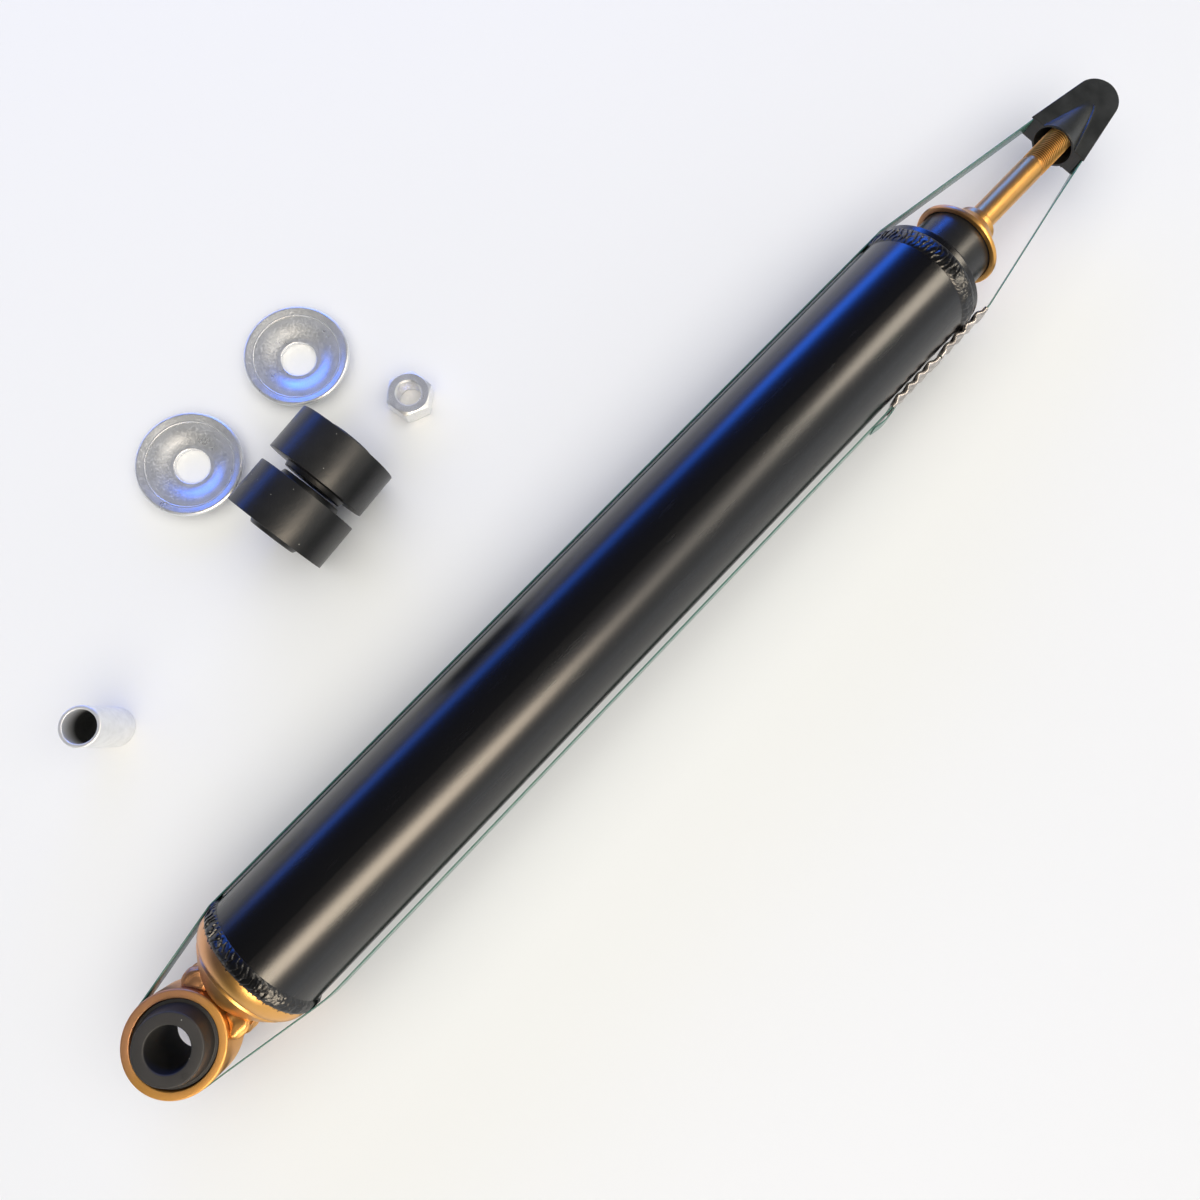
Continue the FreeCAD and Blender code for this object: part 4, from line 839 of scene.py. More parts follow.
def thread_tree():
    """A diamond ridge wound round the upright axis, as a fine thread's crests."""
    tree = Tree("ThreadRidge", [
        ("Turns", "Float"), ("Radius", "Float"), ("Height", "Float"), ("Depth", "Float"),
        ("Pitch", "Float"), ("Finish", "Material")])
    given = tree.given
    spiral = tree.node(
        "GeometryNodeCurveSpiral", None,
        {"Resolution": 56, "Rotations": given["Turns"], "Start Radius": given["Radius"],
         "End Radius": given["Radius"], "Height": given["Height"]})
    spiral = tree.node("GeometryNodeSetCurveNormal", {"mode": "Z_UP"}, {"Curve": spiral})
    diamond = tree.node("GeometryNodeCurvePrimitiveCircle", None, {"Resolution": 4, "Radius": 1.0})
    half = tree.sum("MULTIPLY", given["Pitch"], 0.40)
    diamond = tree.node(
        "GeometryNodeTransform", None,
        {"Geometry": diamond, "Scale": tree.vector(given["Depth"], half, 1.0)})
    ridge = tree.node(
        "GeometryNodeCurveToMesh", None,
        {"Curve": spiral, "Profile Curve": diamond, "Fill Caps": True})
    tree.end_with(ridge)
    return tree


def band_tree():
    """A flat band swept along an outline, with softened edges."""
    tree = Tree("SweptBand", [
        ("Width", "Float"), ("Thickness", "Float"), ("Edge", "Float"), ("Caps", "Bool"),
        ("Finish", "Material")])
    given = tree.given
    way = tree.node("GeometryNodeMeshToCurve", None, {"Mesh": given["Geometry"]})
    way = tree.node("GeometryNodeSetCurveNormal", {"mode": "Z_UP"}, {"Curve": way})
    section = tree.node(
        "GeometryNodeCurvePrimitiveQuadrilateral", None,
        {"Width": given["Thickness"], "Height": given["Width"]})
    section = tree.node(
        "GeometryNodeFilletCurve", {"mode": "POLY"},
        {"Curve": section, "Radius": given["Edge"], "Count": 3})
    band = tree.node(
        "GeometryNodeCurveToMesh", None,
        {"Curve": way, "Profile Curve": section, "Fill Caps": given["Caps"]})
    tree.end_with(band)
    return tree


# The damper's own pieces

def eye_pieces():
    """The eye's plated ring and its rubber bush."""
    eye = settings("eye")
    edge = settings("tube").edge
    half, out = high("eye_ring", 2), radius_of("eye_ring")
    bore = radius_of("eye_bush")
    ring = turned_piece("eye_ring_plated", rounded([
        (-half, bore, edge), (-half, out, edge * 2), (half, out, edge * 2), (half, bore, edge)]),
        "gold_turned", axis=UPRIGHT)
    stands_for(ring, "tube", "gold_zinc", "eye_ring")

    face = high("eye_bush", 2)
    seat = half - eye.groove
    lip = eye.bore_lip
    side = [
        (seat, bore - edge, edge), (seat, bore - 5 * edge, edge),
        (face, eye.face_radius, 2 * edge),
        (face, eye.bore + lip, lip), (face - lip, eye.bore, lip)]
    mirrored = [(-point[0], *point[1:]) for point in reversed(side)]
    body = turned_piece(
        "eye_bush_body", rounded(mirrored + side), "eye_rubber", axis=UPRIGHT)
    pip = turned_piece("eye_bush_pip", rounded([
        (-eye.pip_radius, 0.0), (-eye.pip_radius, eye.pip_radius),
        (eye.pip_height, eye.pip_radius, 0.0003), (eye.pip_height, eye.pip_radius * 0.6, 0.0002),
        (eye.pip_height * 0.4, eye.pip_radius * 0.4), (eye.pip_height * 0.4, 0.0)]),
        "eye_rubber", axis=UPRIGHT, centre=eye.pip_place, steps=40)
    bush = joined("eye_bush_moulded", [body, pip], "eye_rubber")
    stands_for(bush, "tube", "rubber", "eye_bush")


def base_cup():
    """The drawn lower end, with the sharp edge of its step."""
    tube = settings("tube")
    start, end = low("base_cup"), low("base_weld") + tube.cup_lap
    step, out, ledge = start + tube.cup_step, tube.cup_step_radius, tube.cup_ledge
    cup = turned_piece("base_cup_drawn", rounded([
        (start, 0.0), (start, tube.cup_bottom, 0.002),
        *bulged((start + 0.0006, tube.cup_bottom + 0.0012), (step - ledge, out - 0.0003), 0.0006),
        (step - ledge, out - 0.0002, 0.0002), (step, out - 0.0005, 0.0002),
        (step, out + tube.cup_lip, 0.0005),
        *bulged((step + 0.0003, out + 0.0016), (end, TUBE_RADIUS), 0.0009),
        (end, TUBE_RADIUS), (high("base_weld"), TUBE_RADIUS - tube.cup_wall),
        (high("base_weld"), 0.0)]), "gold_oversprayed")
    return stands_for(cup, "tube", "gold_zinc", "base_cup")


def eye_weld_beads():
    """Two lumpy plated weld beads between the eye ring and the base cup."""
    weld = settings("weld")
    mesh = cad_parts["eye_weld"].data.copy()
    lump = add_object("eye_weld_beads", mesh)
    work = bmesh.new()
    work.from_mesh(mesh)
    bmesh.ops.remove_doubles(work, verts=work.verts, dist=1e-6)
    work.to_mesh(mesh)
    work.free()
    remesh = lump.modifiers.new("Remesh", "REMESH")
    remesh.mode = "VOXEL"
    remesh.voxel_size = weld.eye_grain
    smooth = lump.modifiers.new("Smooth", "SMOOTH")
    smooth.iterations = 6
    lump = with_modifiers(lump, "gold_zinc", 80.0)
    offset = Vector((weld.seed, 0.0, 0.0))
    for vert in lump.data.vertices:
        broad = noise.noise(vert.co * 190.0 + offset)
        ripple = math.sin(vert.co.z * 2100.0 + broad * 2.5)
        push = weld.eye_swell * (broad + 0.28 * ripple)
        vert.co += vert.normal * push
    lump.name = "eye_weld_beads"
    return stands_for(lump, "tube", "gold_zinc", "eye_weld")


def weld_bead(name, node, seed):
    """A rippled bead round the tube."""
    weld = settings("weld")
    start, end, reach = low(node), high(node), radius_of(node)
    deep = TUBE_RADIUS - 0.0012
    count = round(2 * math.pi * reach / weld.pitch)
    verts, faces = turned_mesh([
        (start, deep), (start, TUBE_RADIUS),
        *bulged((start, TUBE_RADIUS), (end, TUBE_RADIUS), (reach - TUBE_RADIUS) * 0.8, 26),
        (end, TUBE_RADIUS), (end, deep)], steps=count * 10)
    bead = weld_tree().grow(name, {
        "Radius": reach, "Middle": (start + end) / 2, "Half Width": (end - start) / 2,
        "Pitch": 2 * math.pi * reach / count, "Depth": weld.depth, "Bow": weld.bow,
        "Unevenness": weld.uneven, "Seed": seed}, "weld_paint", verts, (), faces, 60.0)
    return stands_for(bead, "tube", "black_paint", node)


def bump_and_cup():
    """The rubber bump stop, and the plated cup that it is seated in."""
    stem = settings("stem")
    edge = settings("tube").edge
    start, end = low("bump_stop"), high("bump_stop")
    out = radius_of("bump_stop")
    inner = ROD_RADIUS + edge
    mouth, top = low("upper_cup"), high("upper_cup")
    taper = mouth + stem.cup_taper
    stop = turned_piece("bump_stop_moulded", rounded([
        (start, inner), (start, out, stem.bump_edge),
        (taper - stem.cup_play, out, edge), (end, stem.cup_roof - stem.cup_play, edge),
        (end, inner)]), "bump_rubber")
    stands_for(stop, "rod", "bump_rubber", "bump_stop")

    wide = radius_of("upper_cup")
    rim = mouth + stem.cup_rim
    bore = out + stem.cup_play
    roof = end + stem.cup_play
    throat = stem.collar + stem.throat
    cup = turned_piece("upper_cup_pressed", rounded([
        (mouth, bore, edge), (mouth, wide, 2 * edge), (rim, wide, 0.0014),
        *reversed(bulged((top, throat), (rim + 0.0006, wide - 0.0012), 0.0007)),
        (top, throat, edge), (top, stem.collar), (roof, stem.collar),
        (roof, stem.cup_roof), (taper, bore)]), "gold_zinc")
    stands_for(cup, "rod", "gold_zinc", "upper_cup")


def threaded_stem():
    """The plated stem with its collar, and the fine thread that the end cap grips."""
    stem = settings("stem")
    edge = settings("tube").edge
    start, end = low("mount_stem"), high("mount_stem")
    thread_start = end - stem.thread
    collar_end, taper_end = start + stem.collar_length, start + stem.collar_foot
    root = stem.radius - stem.depth
    body = turned_piece("stem_body", rounded([
        (start, 0.0), (start, stem.collar, edge), (collar_end, stem.collar, 0.0008),
        (taper_end, stem.radius, 0.0012),
        (thread_start - stem.relief, stem.radius, edge),
        (thread_start - stem.relief, stem.radius - 0.0005, edge),
        (thread_start, root), (end - stem.tip_cut, root), (end, root - 0.0012, edge), (end, 0.0)]),
        "gold_threaded")
    tree = thread_tree()
    shown = stem.thread - stem.plain_end
    ridge = tree.grow("stem_ridge", {
        "Turns": shown / stem.pitch, "Radius": root - 0.00002, "Height": shown,
        "Depth": stem.depth, "Pitch": stem.pitch}, "gold_threaded")
    ridge.data.transform(
        Matrix.Translation((thread_start + 0.0003, 0.0, 0.0)) @ Matrix.Rotation(math.pi / 2, 4, "Y"))
    whole = joined("stem_threaded", [body, ridge], "gold_threaded", 24.0)
    return stands_for(whole, "rod", "gold_zinc", "mount_stem")


# End cap

FLANGE_EDGE = 0.00045
RIB_HALF_WIDTH = 0.0006
GRIP_PLAY = 0.00008


def soft_max(a, b, soft):
    """The larger of two numbers, with a rounded corner where they meet."""
    gap = max(soft - abs(a - b), 0.0) / soft
    return max(a, b) + gap * gap * soft / 4


def cap_bulge_radius(x, start):
    """The radius of the end cap's bulge at a place along it."""
    cap = settings("cap")
    share = min(max((x - start) / cap.bulge_length, 0.0), 1.0)
    narrow = cap.channel / 2 + cap.flange
    sag = cap.bulge_hollow * 4 * share * (1 - share)
    return cap.bulge + (narrow - cap.bulge) * share - sag


def cap_plate_half(x, grow):
    """Half the width of the end cap's flange, from its front to its tip."""
    cap = settings("cap")
    start = low("end_cap")
    centre = high("end_cap") - cap.proud - cap.tip_radius
    radius = cap.tip_radius + grow
    front = cap.front_width / 2 + grow
    lean = math.asin((cap.front_width / 2 - cap.tip_radius) / (centre - start))
    touch = centre + radius * math.sin(lean)
    if x < touch:
        return front + (radius * math.cos(lean) - front) * (x - start) / (touch - start)
    return math.sqrt(max(radius ** 2 - (x - centre) ** 2, 0.0))


def cap_flange_mesh():
    """A flange whose upper side swells into the bulge, above a flat lower side."""
    cap = settings("cap")
    start = low("end_cap")
    end = high("end_cap")
    flat = cap.channel / 2 + cap.flange
    edge, rib_width = FLANGE_EDGE, RIB_HALF_WIDTH
    rows, columns = 130, 170
    verts, faces = [], []

    def top(x, y, half):
        bulge = cap_bulge_radius(x, start)
        rise = math.sqrt(max(bulge * bulge - y * y, 0.0)) if x < start + cap.bulge_length else 0.0
        level = soft_max(rise, flat, cap.blend)
        seam = -y - math.sqrt(max(bulge * bulge - flat * flat, 0.0)) - rib_width
        if x < start + cap.bulge_length and abs(seam) < rib_width:
            level += cap.rib * (1 - abs(seam) / rib_width)
        near = min(half - abs(y), x - start)
        if near < edge:
            level -= edge - math.sqrt(max(edge ** 2 - (edge - max(near, 0.0)) ** 2, 0.0))
        return level

    for row in range(rows + 1):
        x = start + (end - start) * (1 - math.cos(math.pi * row / rows)) / 2
        half = max(cap_plate_half(x, cap.proud), 0.00002)
        for column in range(columns + 1):
            share = math.cos(math.pi * column / columns)
            side = half * (0.55 * share + 0.45 * (1 - 2 * column / columns))
            verts.append((x, side, top(x, side, half)))
    upper = len(verts)
    verts += [(x, y, cap.channel / 2) for x, y, _ in verts]
    wide = columns + 1
    for row in range(rows):
        for column in range(columns):
            a = row * wide + column
            quad = [a, a + 1, a + 1 + wide, a + wide]
            faces.append(quad)
            faces.append([upper + corner for corner in reversed(quad)])
    border = list(range(wide))
    border += [row * wide + columns for row in range(1, rows + 1)]
    border += [rows * wide + column for column in range(columns - 1, -1, -1)]
    border += [row * wide for row in range(rows - 1, 0, -1)]
    for first, second in zip(border, border[1:] + border[:1]):
        faces.append([first, second, upper + second, upper + first])
    return verts, faces


def cap_web_mesh():
    """The block between the flanges, which the strap is bent round."""
    cap = settings("cap")
    start, end = low("end_cap"), high("end_cap") - cap.proud
    steps = 90
    rim = []
    for step in range(steps + 1):
        x = start + (end - start) * math.sin(math.pi / 2 * step / steps)
        rim.append((x, cap_plate_half(x, 0.0)))
    outline = rim + [(x, -y) for x, y in reversed(rim)]
    reach = cap.channel / 2 + cap.flange / 2
    verts = [(x, y, z) for z in (-reach, reach) for x, y in outline]
    count = len(outline)
    faces = [list(range(count)), list(range(2 * count - 1, count - 1, -1))]
    for i in range(count):
        j = (i + 1) % count
        faces.append([i, j, count + j, count + i])
    return verts, faces


def end_cap():
    """The moulded guard: two flanges and a web, swelling round the stem's end."""
    cap = settings("cap")
    start = low("end_cap")
    grip = settings("stem").radius + GRIP_PLAY
    verts, faces = cap_flange_mesh()
    upper = new_piece("cap_upper", verts, faces, "cap_plastic")
    lower = new_piece("cap_lower", [(x, y, -z) for x, y, z in verts], faces, "cap_plastic")
    verts, faces = cap_web_mesh()
    whole = new_piece("end_cap_moulded", verts, faces, "cap_plastic")
    tool = turned_piece("cap_mouth", [
        (start - 0.002, 0.0), (start - 0.002, cap.mouth + 0.0006), (start, cap.mouth),
        (start + cap.mouth_depth, grip), (high("mount_stem") + 0.0003, grip),
        (high("mount_stem") + 0.0003, 0.0)], "cap_plastic", steps=96)
    for other, operation in ((upper, "UNION"), (lower, "UNION"), (tool, "DIFFERENCE")):
        cut = whole.modifiers.new("Join", "BOOLEAN")
        cut.object = other
        cut.operation = operation
        cut.solver = "MANIFOLD"
    whole = with_modifiers(whole, "cap_plastic", 38.0)
    whole.name = "end_cap_moulded"
    for other in (upper, lower, tool):
        discard(other)
    return stands_for(whole, "carriage", "cap_plastic", "end_cap")


# Strap and its seals

def seal_starts():
    """Where each strap seal begins along the damper, and how long one is."""
    strap = settings("strap")
    length = strap.pitch * strap.count + strap.lead * 2
    return [low("strap_seal_1"), low("strap_seal_2")], length


def strap_corners():
    """The round corners that the strap may run over, and those it must reach."""
    strap, cap, tube = settings("strap"), settings("cap"), settings("tube")
    corner, bow, clear = strap.corner, strap.bow, strap.clear
    side = -low("base_weld", 1) + clear
    far_side = side + strap.stand_off
    cap_side = cap.front_width / 2 + clear
    starts, length = seal_starts()
    tube_start = low("reserve_tube")
    cap_start = low("end_cap")
    tip = high("end_cap") - cap.proud - cap.tip_radius
    return [
        (0.0, 0.0, high("eye_ring") + clear, True),
        (tube_start + bow / 4, bow - far_side, bow, True),
        (starts[0] - strap.lead, corner - far_side, corner, True),
        (starts[1] + length + strap.lead, corner - far_side, corner, True),
        (cap_start, corner - cap_side, corner, False),
        (tip, 0.0, cap.tip_radius + clear, True),
        (cap_start, cap_side - corner, corner, False),
        (high("reserve_tube") + 0.007 - tube.top_round, side - corner, corner, True),
        (tube_start, side - corner, corner, True),
    ]


def way_between(first, second):
    """The direction that the strap faces on its way between two round corners."""
    gap = math.hypot(second[0] - first[0], second[1] - first[1])
    way = math.atan2(second[1] - first[1], second[0] - first[0])
    return way - math.acos((first[2] - second[2]) / gap)


def strap_discs():
    corners = strap_corners()
    kept = []
    for i, corner in enumerate(corners):
        after = corners[(i + 1) % len(corners)]
        turn_there = way_between(corner, after) - way_between(corners[i - 1], corner)
        if corner[3] or math.sin(turn_there) > 1e-6:
            kept.append(corner[:3])
    return kept


def crimp_sink(x, starts):
    """How deep the strap is pressed in at a place along it."""
    strap = settings("strap")
    for start in starts:
        place = (x - start - strap.lead) / strap.pitch
        if 0.0 < place < strap.count:
            return strap.depth * (1 - math.cos(2 * math.pi * place)) / 2
    return 0.0


def strap_line(grow):
    """Points along the strap's closed loop, grown outwards from its inner face."""
    discs = strap_discs()
    starts, _ = seal_starts()
    count = len(discs)
    ways = [way_between(discs[i], discs[(i + 1) % count]) for i in range(count)]
    points = []
    for i, (x, y, radius) in enumerate(discs):
        sweep = (ways[i] - ways[i - 1]) % (2 * math.pi)
        steps = max(2, math.ceil(sweep / math.radians(4))) if sweep < math.pi * 1.5 else 0
        reach = radius + grow
        for step in range(steps + 1):
            angle = ways[i] if not steps else ways[i - 1] + sweep * step / steps
            points.append((x + reach * math.cos(angle), y + reach * math.sin(angle)))
        following = discs[(i + 1) % count]
        goal = (following[0] + (following[2] + grow) * math.cos(ways[i]),
                following[1] + (following[2] + grow) * math.sin(ways[i]))
        here = points[-1]
        run = math.dist(here, goal)
        parts = max(1, math.ceil(run / 0.004))
        if math.isclose(here[1], goal[1], abs_tol=1e-4) and i == 2:
            parts = math.ceil(run / 0.0005)
        for part in range(1, parts):
            share = part / parts
            px = here[0] + (goal[0] - here[0]) * share
            py = here[1] + (goal[1] - here[1]) * share
            if i == 2:
                py += crimp_sink(px, starts)
            points.append((px, py))
    return points


def swept_band(name, line, closed, width, thick, edge, finish, caps=True):
    """A band made by the sweep tree along a line of points in the strap's plane."""
    tree = band_tree()
    count = len(line)
    edges = [(i, (i + 1) % count) for i in range(count if closed else count - 1)]
    verts = [(x, y, 0.0) for x, y in line]
    return tree.grow(name, {
        "Width": width, "Thickness": thick, "Edge": edge, "Caps": caps}, finish, verts, edges)


def lean_strap(piece):
    """Leans the seals' side of the strap, so that its outer face looks up a little."""
    strap = settings("strap")
    for vert in piece.data.vertices:
        x, y, z = vert.co
        room = min(x - low("strap"), low("end_cap") - x) / strap.lean_fade
        if y < -settings("cap").tip_radius:
            vert.co.y += z * strap.lean * min(max(room, 0.0), 1.0)


def strap_tail_points():
    """The strap's free end below the first seal: how far along, and how many thicknesses out."""
    length = settings("strap").tail
    count = 16
    for i in range(count + 1):
        share = i / count
        yield settings("strap").lead - length * share, 1.6 + 1.7 * math.sin(math.pi * share)


def strap_and_seals():
    """The strap that holds the damper closed, its loose tail and its crimped steel seals."""
    strap = settings("strap")
    starts, length = seal_starts()
    loop = swept_band(
        "strap_band", strap_line(strap.thick / 2), True,
        strap.width, strap.thick, strap.thick * 0.3, "strap_green", caps=False)
    lean_strap(loop)
    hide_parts("strap")
    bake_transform(loop)

    level = strap_discs()[2][1] - strap_discs()[2][2]
    first = starts[0]
    tail = swept_band(
        "strap_tail",
        [(first + along, level - strap.thick * out) for along, out in strap_tail_points()],
        False, strap.width, strap.thick * 0.9, strap.thick * 0.3, "strap_green")
    lean_strap(tail)
    stands_for(tail, "tube", "strap_green")

    for number, start in enumerate(starts, start=1):
        steps = 140
        line = []
        for step in range(steps + 1):
            x = start + length * step / steps
            line.append((x, level - strap.thick / 2 + crimp_sink(x, [start])))
        inner = swept_band(
            f"seal_{number}", line, False, strap.width + 2 * strap.clear + strap.wall,
            strap.thick + 2 * strap.clear + strap.wall, 0.0006, "seal_steel", caps=False)
        solid = inner.modifiers.new("Wall", "SOLIDIFY")
        solid.thickness = strap.wall
        solid.offset = 0.0
        seal = with_modifiers(inner, "seal_steel", 40.0)
        lean_strap(seal)
        stands_for(seal, "tube", "seal_steel", f"strap_seal_{number}")


# Mounting kit

def cup_washer(name, node):
    """A pressed zinc cup washer with a fine step inside its rim."""
    kit = settings("kit")
    rim = radius_of(node, 0)
    height = high(node, 2) - low(node, 2)
    sheet = kit.washer_sheet
    step = kit.washer_step
    bowl = [(0.0, 0.0108), (0.0003, 0.0122), (0.0013, 0.0148), (0.0024, 0.0174),
            (0.0031, 0.0200), (0.0035, step - 0.0002)]
    outline = rounded([
        (0.0, kit.washer_hole, 0.0004),
        *[(rise, out + kit.washer_skirt) for rise, out in bowl],
        (height - sheet, rim - 0.0012, 0.0006), (height - 0.0013, rim, 0.0011),
        (height, rim - 0.0015, 0.0010), (height - 0.0011, step + 0.0008, 0.0004),
        (height - 0.0012, step + 0.0001, 0.0002),
        *[(sheet + rise, out) for rise, out in reversed(bowl)],
        (sheet, kit.washer_hole, 0.0006)])
    piece = turned_piece(
        name, outline, "bright_zinc", axis=UPRIGHT,
        centre=(middle(node, 0), middle(node, 1), low(node, 2)))
    return stands_for(piece, "tube", "bright_zinc", node)


def stem_bush(name, node, facing):
    """A stepped rubber bush lying on its side, its locating boss towards facing."""
    kit = settings("kit")
    half = kit.bush_width / 2
    hole, boss, dome = kit.bush_hole, kit.boss_radius, kit.dome_radius
    out = kit.bush_radius
    outline = rounded([
        (-half - kit.boss, hole, 0.0009), (-half - kit.boss, boss - 0.0006, 0.0006),
        (-half, boss + 0.0003, 0.0006), (-half, out, 0.0003),
        (half, out, 0.0003), (half, dome + 0.0006, 0.0006),
        (half + kit.dome, dome - 0.0006, 0.0012), (half + kit.dome, hole, 0.0008)])
    turn_by = kit.bush_turn + (math.pi if facing < 0 else 0.0)
    lean = Vector((math.cos(turn_by), math.sin(turn_by)))
    reach = (kit.dome - kit.boss) / 2
    centre = Vector((middle(node, 0), middle(node, 1))) - lean * reach
    piece = turned_piece(
        name, outline, "rubber", turn=turn_by,
        centre=(centre.x, centre.y, FLOOR + out))
    return stands_for(piece, "tube", "rubber", node)


def kit_pieces():
    """The loose kit beside the damper."""
    cup_washer("cup_washer_pressed_1", "cup_washer_1")
    cup_washer("cup_washer_pressed_2", "cup_washer_2")
    stem_bush("stem_bush_moulded_1", "stem_bush_1", 1)
    stem_bush("stem_bush_moulded_2", "stem_bush_2", -1)

    kit = settings("kit")
    node = "eye_sleeve"
    height = high(node, 2) - low(node, 2)
    out = radius_of(node, 0)
    sleeve = turned_piece("eye_sleeve_cut", rounded([
        (0.0, kit.sleeve_bore, 0.0003), (0.0, out, 0.0006),
        (height, out, 0.0007), (height, kit.sleeve_bore, 0.0005)]),
        "dull_zinc", axis=UPRIGHT,
        centre=(middle(node, 0), middle(node, 1), low(node, 2)))
    stands_for(sleeve, "tube", "bright_zinc", node)

    node = "stem_nut"
    stem = settings("stem")
    turns = math.floor((high(node, 2) - low(node, 2) - kit.nut_sink) / stem.pitch)
    thread = thread_tree().grow("stem_nut_thread", {
        "Turns": float(turns), "Radius": stem.radius - 0.0002, "Height": turns * stem.pitch,
        "Depth": stem.depth * 0.7, "Pitch": stem.pitch}, "bright_zinc")
    thread.data.transform(Matrix.Translation(
        (middle(node, 0), middle(node, 1), low(node, 2) + kit.nut_sink / 2)))
    stands_for(thread, "tube", "bright_zinc")


# Carried-over nodes

NODE_FINISHES = {
    "reserve_tube": "black_paint", "top_cap": "black_paint",
    "stem_nut": "bright_zinc", "piston_rod": "hard_chrome", "pressure_tube": "plain_steel",
    "rod_guide": "sintered_iron", "guide_bush": "bronze", "rod_seal": "rubber",
    "base_valve_body": "sintered_iron", "base_valve_discs": "plain_steel",
    "base_valve_pin": "plain_steel", "base_check_plate": "plain_steel",
    "base_check_spring": "plain_steel", "piston": "sintered_iron",
    "piston_band": "band_plastic", "piston_discs": "plain_steel",
    "piston_check_plate": "plain_steel", "piston_check_spring": "plain_steel",
    "backing_washer": "plain_steel", "piston_nut": "plain_steel",
    "rebound_ring": "plain_steel", "rebound_pad": "rubber",
}


def finish_nodes():
    """Gives every node that stays as it is the finish of the real piece."""
    for name, finish in NODE_FINISHES.items():
        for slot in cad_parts[name].material_slots:
            slot.material = FINISHES[finish]


# Stage

def pale_floor():
    stage = settings("stage")
    mesh = bpy.data.meshes.new("floor")
    reach = stage.floor_size / 2
    mesh.from_pydata(
        [(-reach, -reach, FLOOR), (reach, -reach, FLOOR), (reach, reach, FLOOR),
         (-reach, reach, FLOOR)], [], [(0, 1, 2, 3)])
    floor = add_object("floor", mesh)
    finish = Finish("floor")
    cloud = finish.noise(3.0, 3.0, 0.5)
    finish.fixed(
        Base_Color=finish.mixed(cloud, stage.floor, tinted(stage.floor, 0.985)),
        Roughness=0.62, Specular_IOR_Level=0.25)
    mesh.materials.append(finish.material)


def lamp(name, place, aim, size, bright, colour):
    """A soft rectangular lamp that shines towards a point."""
    light = bpy.data.lights.new(name, "AREA")
    light.shape = "RECTANGLE"
    light.size, light.size_y = size
    light.energy = bright * math.pi * size[0] * size[1]
    light.color = colour
    piece = add_object(name, light)
    piece.location = place
    away = Vector(aim) - Vector(place)
    piece.rotation_euler = away.to_track_quat("-Z", "Y").to_euler()
    return piece


def soft_world():
    """A plain room: dark overhead, paler on the window's side and near the horizon."""
    stage = settings("stage")
    world = bpy.data.worlds.new("Room")
    world.use_nodes = True
    bpy.context.scene.world = world
    tree = world.node_tree
    back = tree.nodes["Background"]
    place = tree.nodes.new("ShaderNodeTexCoord")
    part = tree.nodes.new("ShaderNodeSeparateXYZ")
    tree.links.new(place.outputs["Generated"], part.inputs[0])
    total = None
    for axis, first, last, least, most in (
            (1, -0.10, -0.36, stage.zenith, stage.window_side),
            (2, 0.42, 0.04, 0.0, stage.horizon)):
        ramp = tree.nodes.new("ShaderNodeMapRange")
        ramp.interpolation_type = "SMOOTHSTEP"
        tree.links.new(part.outputs[axis], ramp.inputs["Value"])
        for key, value in (("From Min", first), ("From Max", last),
                           ("To Min", least), ("To Max", most)):
            ramp.inputs[key].default_value = value
        if total is None:
            total = ramp.outputs[0]
            continue
        both = tree.nodes.new("ShaderNodeMath")
        tree.links.new(total, both.inputs[0])
        tree.links.new(ramp.outputs[0], both.inputs[1])
        total = both.outputs[0]
    tree.links.new(total, back.inputs[1])
    back.inputs[0].default_value = (0.93, 0.96, 1.0, 1.0)


# Place, aim, size, brightness and colour of each lamp, and its share of that as soft light
LAMPS = (
    ("WarmWindow", (-0.50, -1.42, 1.86), (0.10, 0.0, 0.0), (1.70, 0.78), 12.5,
     (1.0, 0.84, 0.64), 0.25),
    ("WarmStrip", (1.00, -1.42, 1.95), (0.30, 0.0, 0.0), (1.60, 0.62), 2.4,
     (1.0, 0.90, 0.76), 0.25),
    ("WarmEnd", (1.86, -0.95, 1.86), (0.48, 0.0, 0.0), (0.72, 0.66), 10.0,
     (1.0, 0.88, 0.70), 0.25),
    ("BlueWindow", (1.00, 1.95, 0.74), (0.30, 0.0, 0.0), (4.00, 0.52), 4.4,
     (0.02, 0.17, 1.0), 0.5),
    ("BlueEnd", (1.95, 1.85, 0.68), (0.40, 0.0, 0.0), (1.60, 0.46), 7.5,
     (0.012, 0.15, 1.0), 0.5),
)


def stage_and_camera():
    stage = settings("stage")
    scene = bpy.context.scene
    pale_floor()
    soft_world()
    for name, place, aim, size, bright, colour, share in LAMPS:
        lamp(f"{name}Seen", place, aim, size, bright, colour).visible_diffuse = False
        lamp(f"{name}Soft", place, aim, size, bright * share, colour).visible_glossy = False
    fill = lamp(
        "Fill", (0.3, 0.1, 2.6), (0.3, 0.1, 0.0), (6.0, 6.0), stage.fill, (1.0, 0.985, 0.93))
    fill.visible_glossy = False
    camera = bpy.data.cameras.new("Camera")
    camera.lens = stage.lens
    camera.sensor_width = 36.0
    camera.clip_start = 0.01
    piece = add_object("Camera", camera)
    piece.location = stage.camera_place
    piece.rotation_euler = stage.camera_turn
    scene.camera = piece
    scene.view_settings.view_transform = "Standard"


# Operators

class DAMPER_OT_finishes(bpy.types.Operator):
    """Mixes every finish and gives the carried-over nodes theirs"""
    bl_idname = "damper.finishes"
    bl_label = "Finishes"

    def execute(self, context):
        mix_finishes()
        finish_nodes()
        return {"FINISHED"}


class DAMPER_OT_eye(bpy.types.Operator):
    """Makes the lower eye, its rubber bush and its weld beads"""
    bl_idname = "damper.eye"
    bl_label = "Lower Eye"

    def execute(self, context):
        eye_pieces()
        base_cup()
        eye_weld_beads()
        return {"FINISHED"}


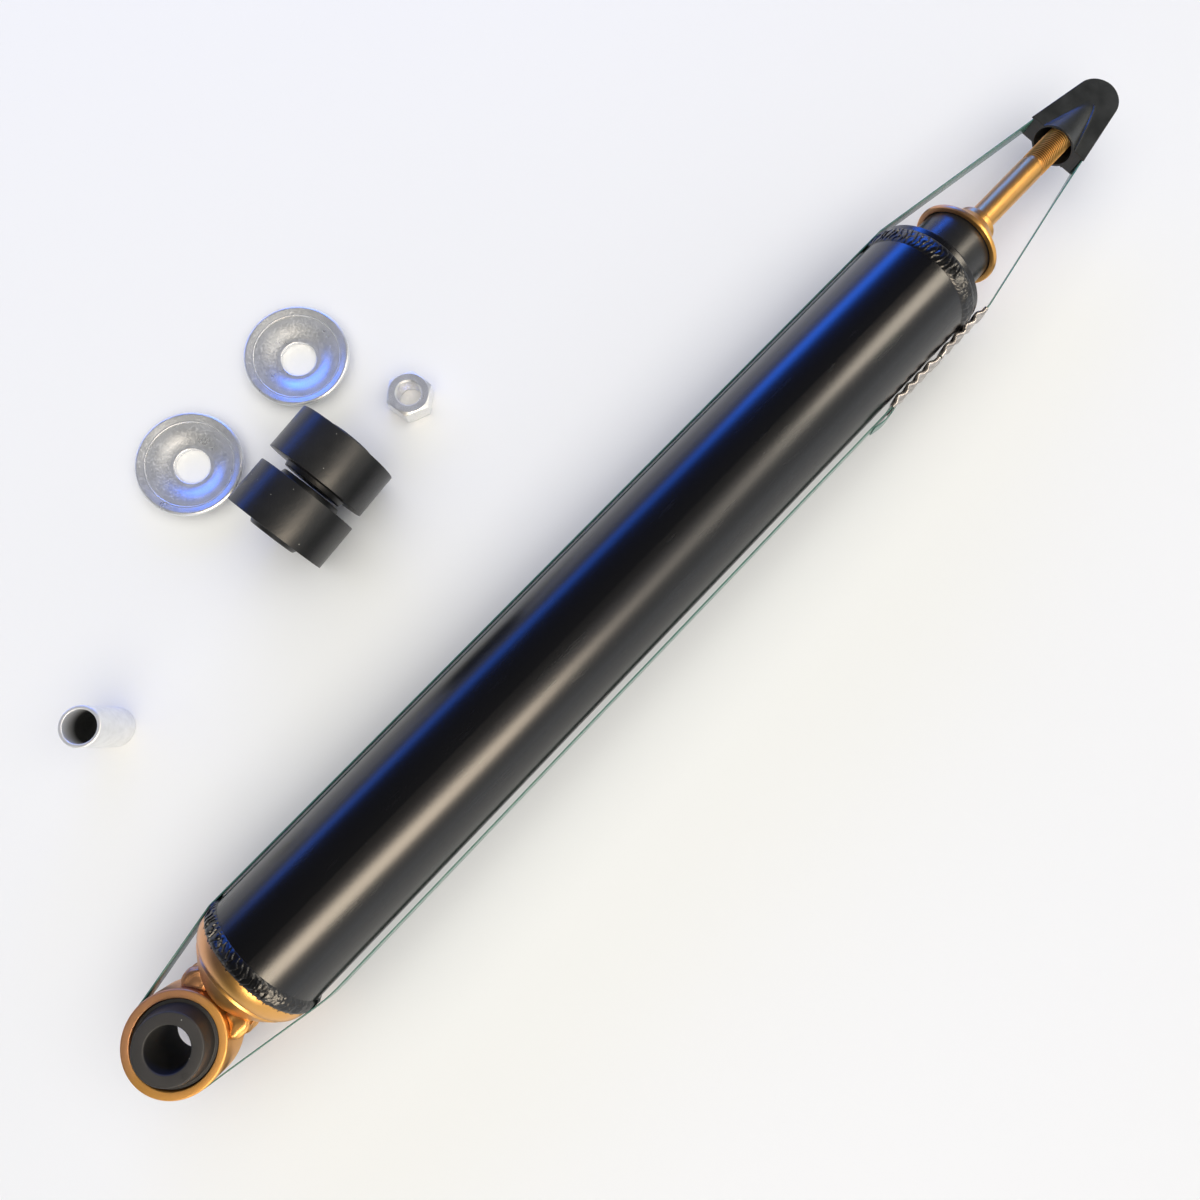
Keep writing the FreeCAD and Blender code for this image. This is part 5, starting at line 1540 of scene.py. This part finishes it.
class DAMPER_OT_welds(bpy.types.Operator):
    """Makes the painted weld beads at the tube's ends"""
    bl_idname = "damper.welds"
    bl_label = "Tube Welds"

    def execute(self, context):
        seed = settings("weld").seed
        weld_bead("base_weld_bead", "base_weld", seed)
        weld_bead("top_weld_bead", "top_weld", seed + 10.0)
        return {"FINISHED"}


class DAMPER_OT_stem(bpy.types.Operator):
    """Makes the bump stop, the upper cup and the threaded stem"""
    bl_idname = "damper.stem"
    bl_label = "Bump Stop, Cup and Stem"

    def execute(self, context):
        bump_and_cup()
        threaded_stem()
        return {"FINISHED"}


class DAMPER_OT_cap(bpy.types.Operator):
    """Makes the moulded end cap"""
    bl_idname = "damper.cap"
    bl_label = "End Cap"

    def execute(self, context):
        end_cap()
        return {"FINISHED"}


class DAMPER_OT_strap(bpy.types.Operator):
    """Makes the strap and its crimped seals"""
    bl_idname = "damper.strap"
    bl_label = "Strap and Seals"

    def execute(self, context):
        strap_and_seals()
        return {"FINISHED"}


class DAMPER_OT_kit(bpy.types.Operator):
    """Makes the loose mounting kit"""
    bl_idname = "damper.kit"
    bl_label = "Mounting Kit"

    def execute(self, context):
        kit_pieces()
        return {"FINISHED"}


class DAMPER_OT_stage(bpy.types.Operator):
    """Makes the floor, the lights and the camera"""
    bl_idname = "damper.stage"
    bl_label = "Stage"

    def execute(self, context):
        stage_and_camera()
        return {"FINISHED"}


OPERATORS = (
    DAMPER_OT_finishes, DAMPER_OT_eye, DAMPER_OT_welds, DAMPER_OT_stem,
    DAMPER_OT_cap, DAMPER_OT_strap, DAMPER_OT_kit, DAMPER_OT_stage)


class DAMPER_PT_panel(bpy.types.Panel):
    """Lists the damper's pieces and its settings"""
    bl_idname = "DAMPER_PT_panel"
    bl_label = "Shock Absorber"
    bl_space_type = "VIEW_3D"
    bl_region_type = "UI"
    bl_category = "Damper"

    def draw(self, context):
        for operator in OPERATORS:
            self.layout.operator(operator.bl_idname)
        for name, group in SETTINGS.items():
            box = self.layout.box()
            for key in group.__annotations__:
                box.prop(getattr(context.scene, name), key)


def register():
    for group in (*SETTINGS.values(), *OPERATORS, DAMPER_PT_panel):
        bpy.utils.register_class(group)
    for name, group in SETTINGS.items():
        setattr(bpy.types.Scene, name, PointerProperty(type=group))


def unregister():
    for name in SETTINGS:
        delattr(bpy.types.Scene, name)
    for group in (DAMPER_PT_panel, *reversed(OPERATORS), *reversed(SETTINGS.values())):
        bpy.utils.unregister_class(group)


def main():
    register()
    for operator in OPERATORS:
        group, action = operator.bl_idname.split(".")
        getattr(getattr(bpy.ops, group), action)()


if __name__ == "__main__":
    main()
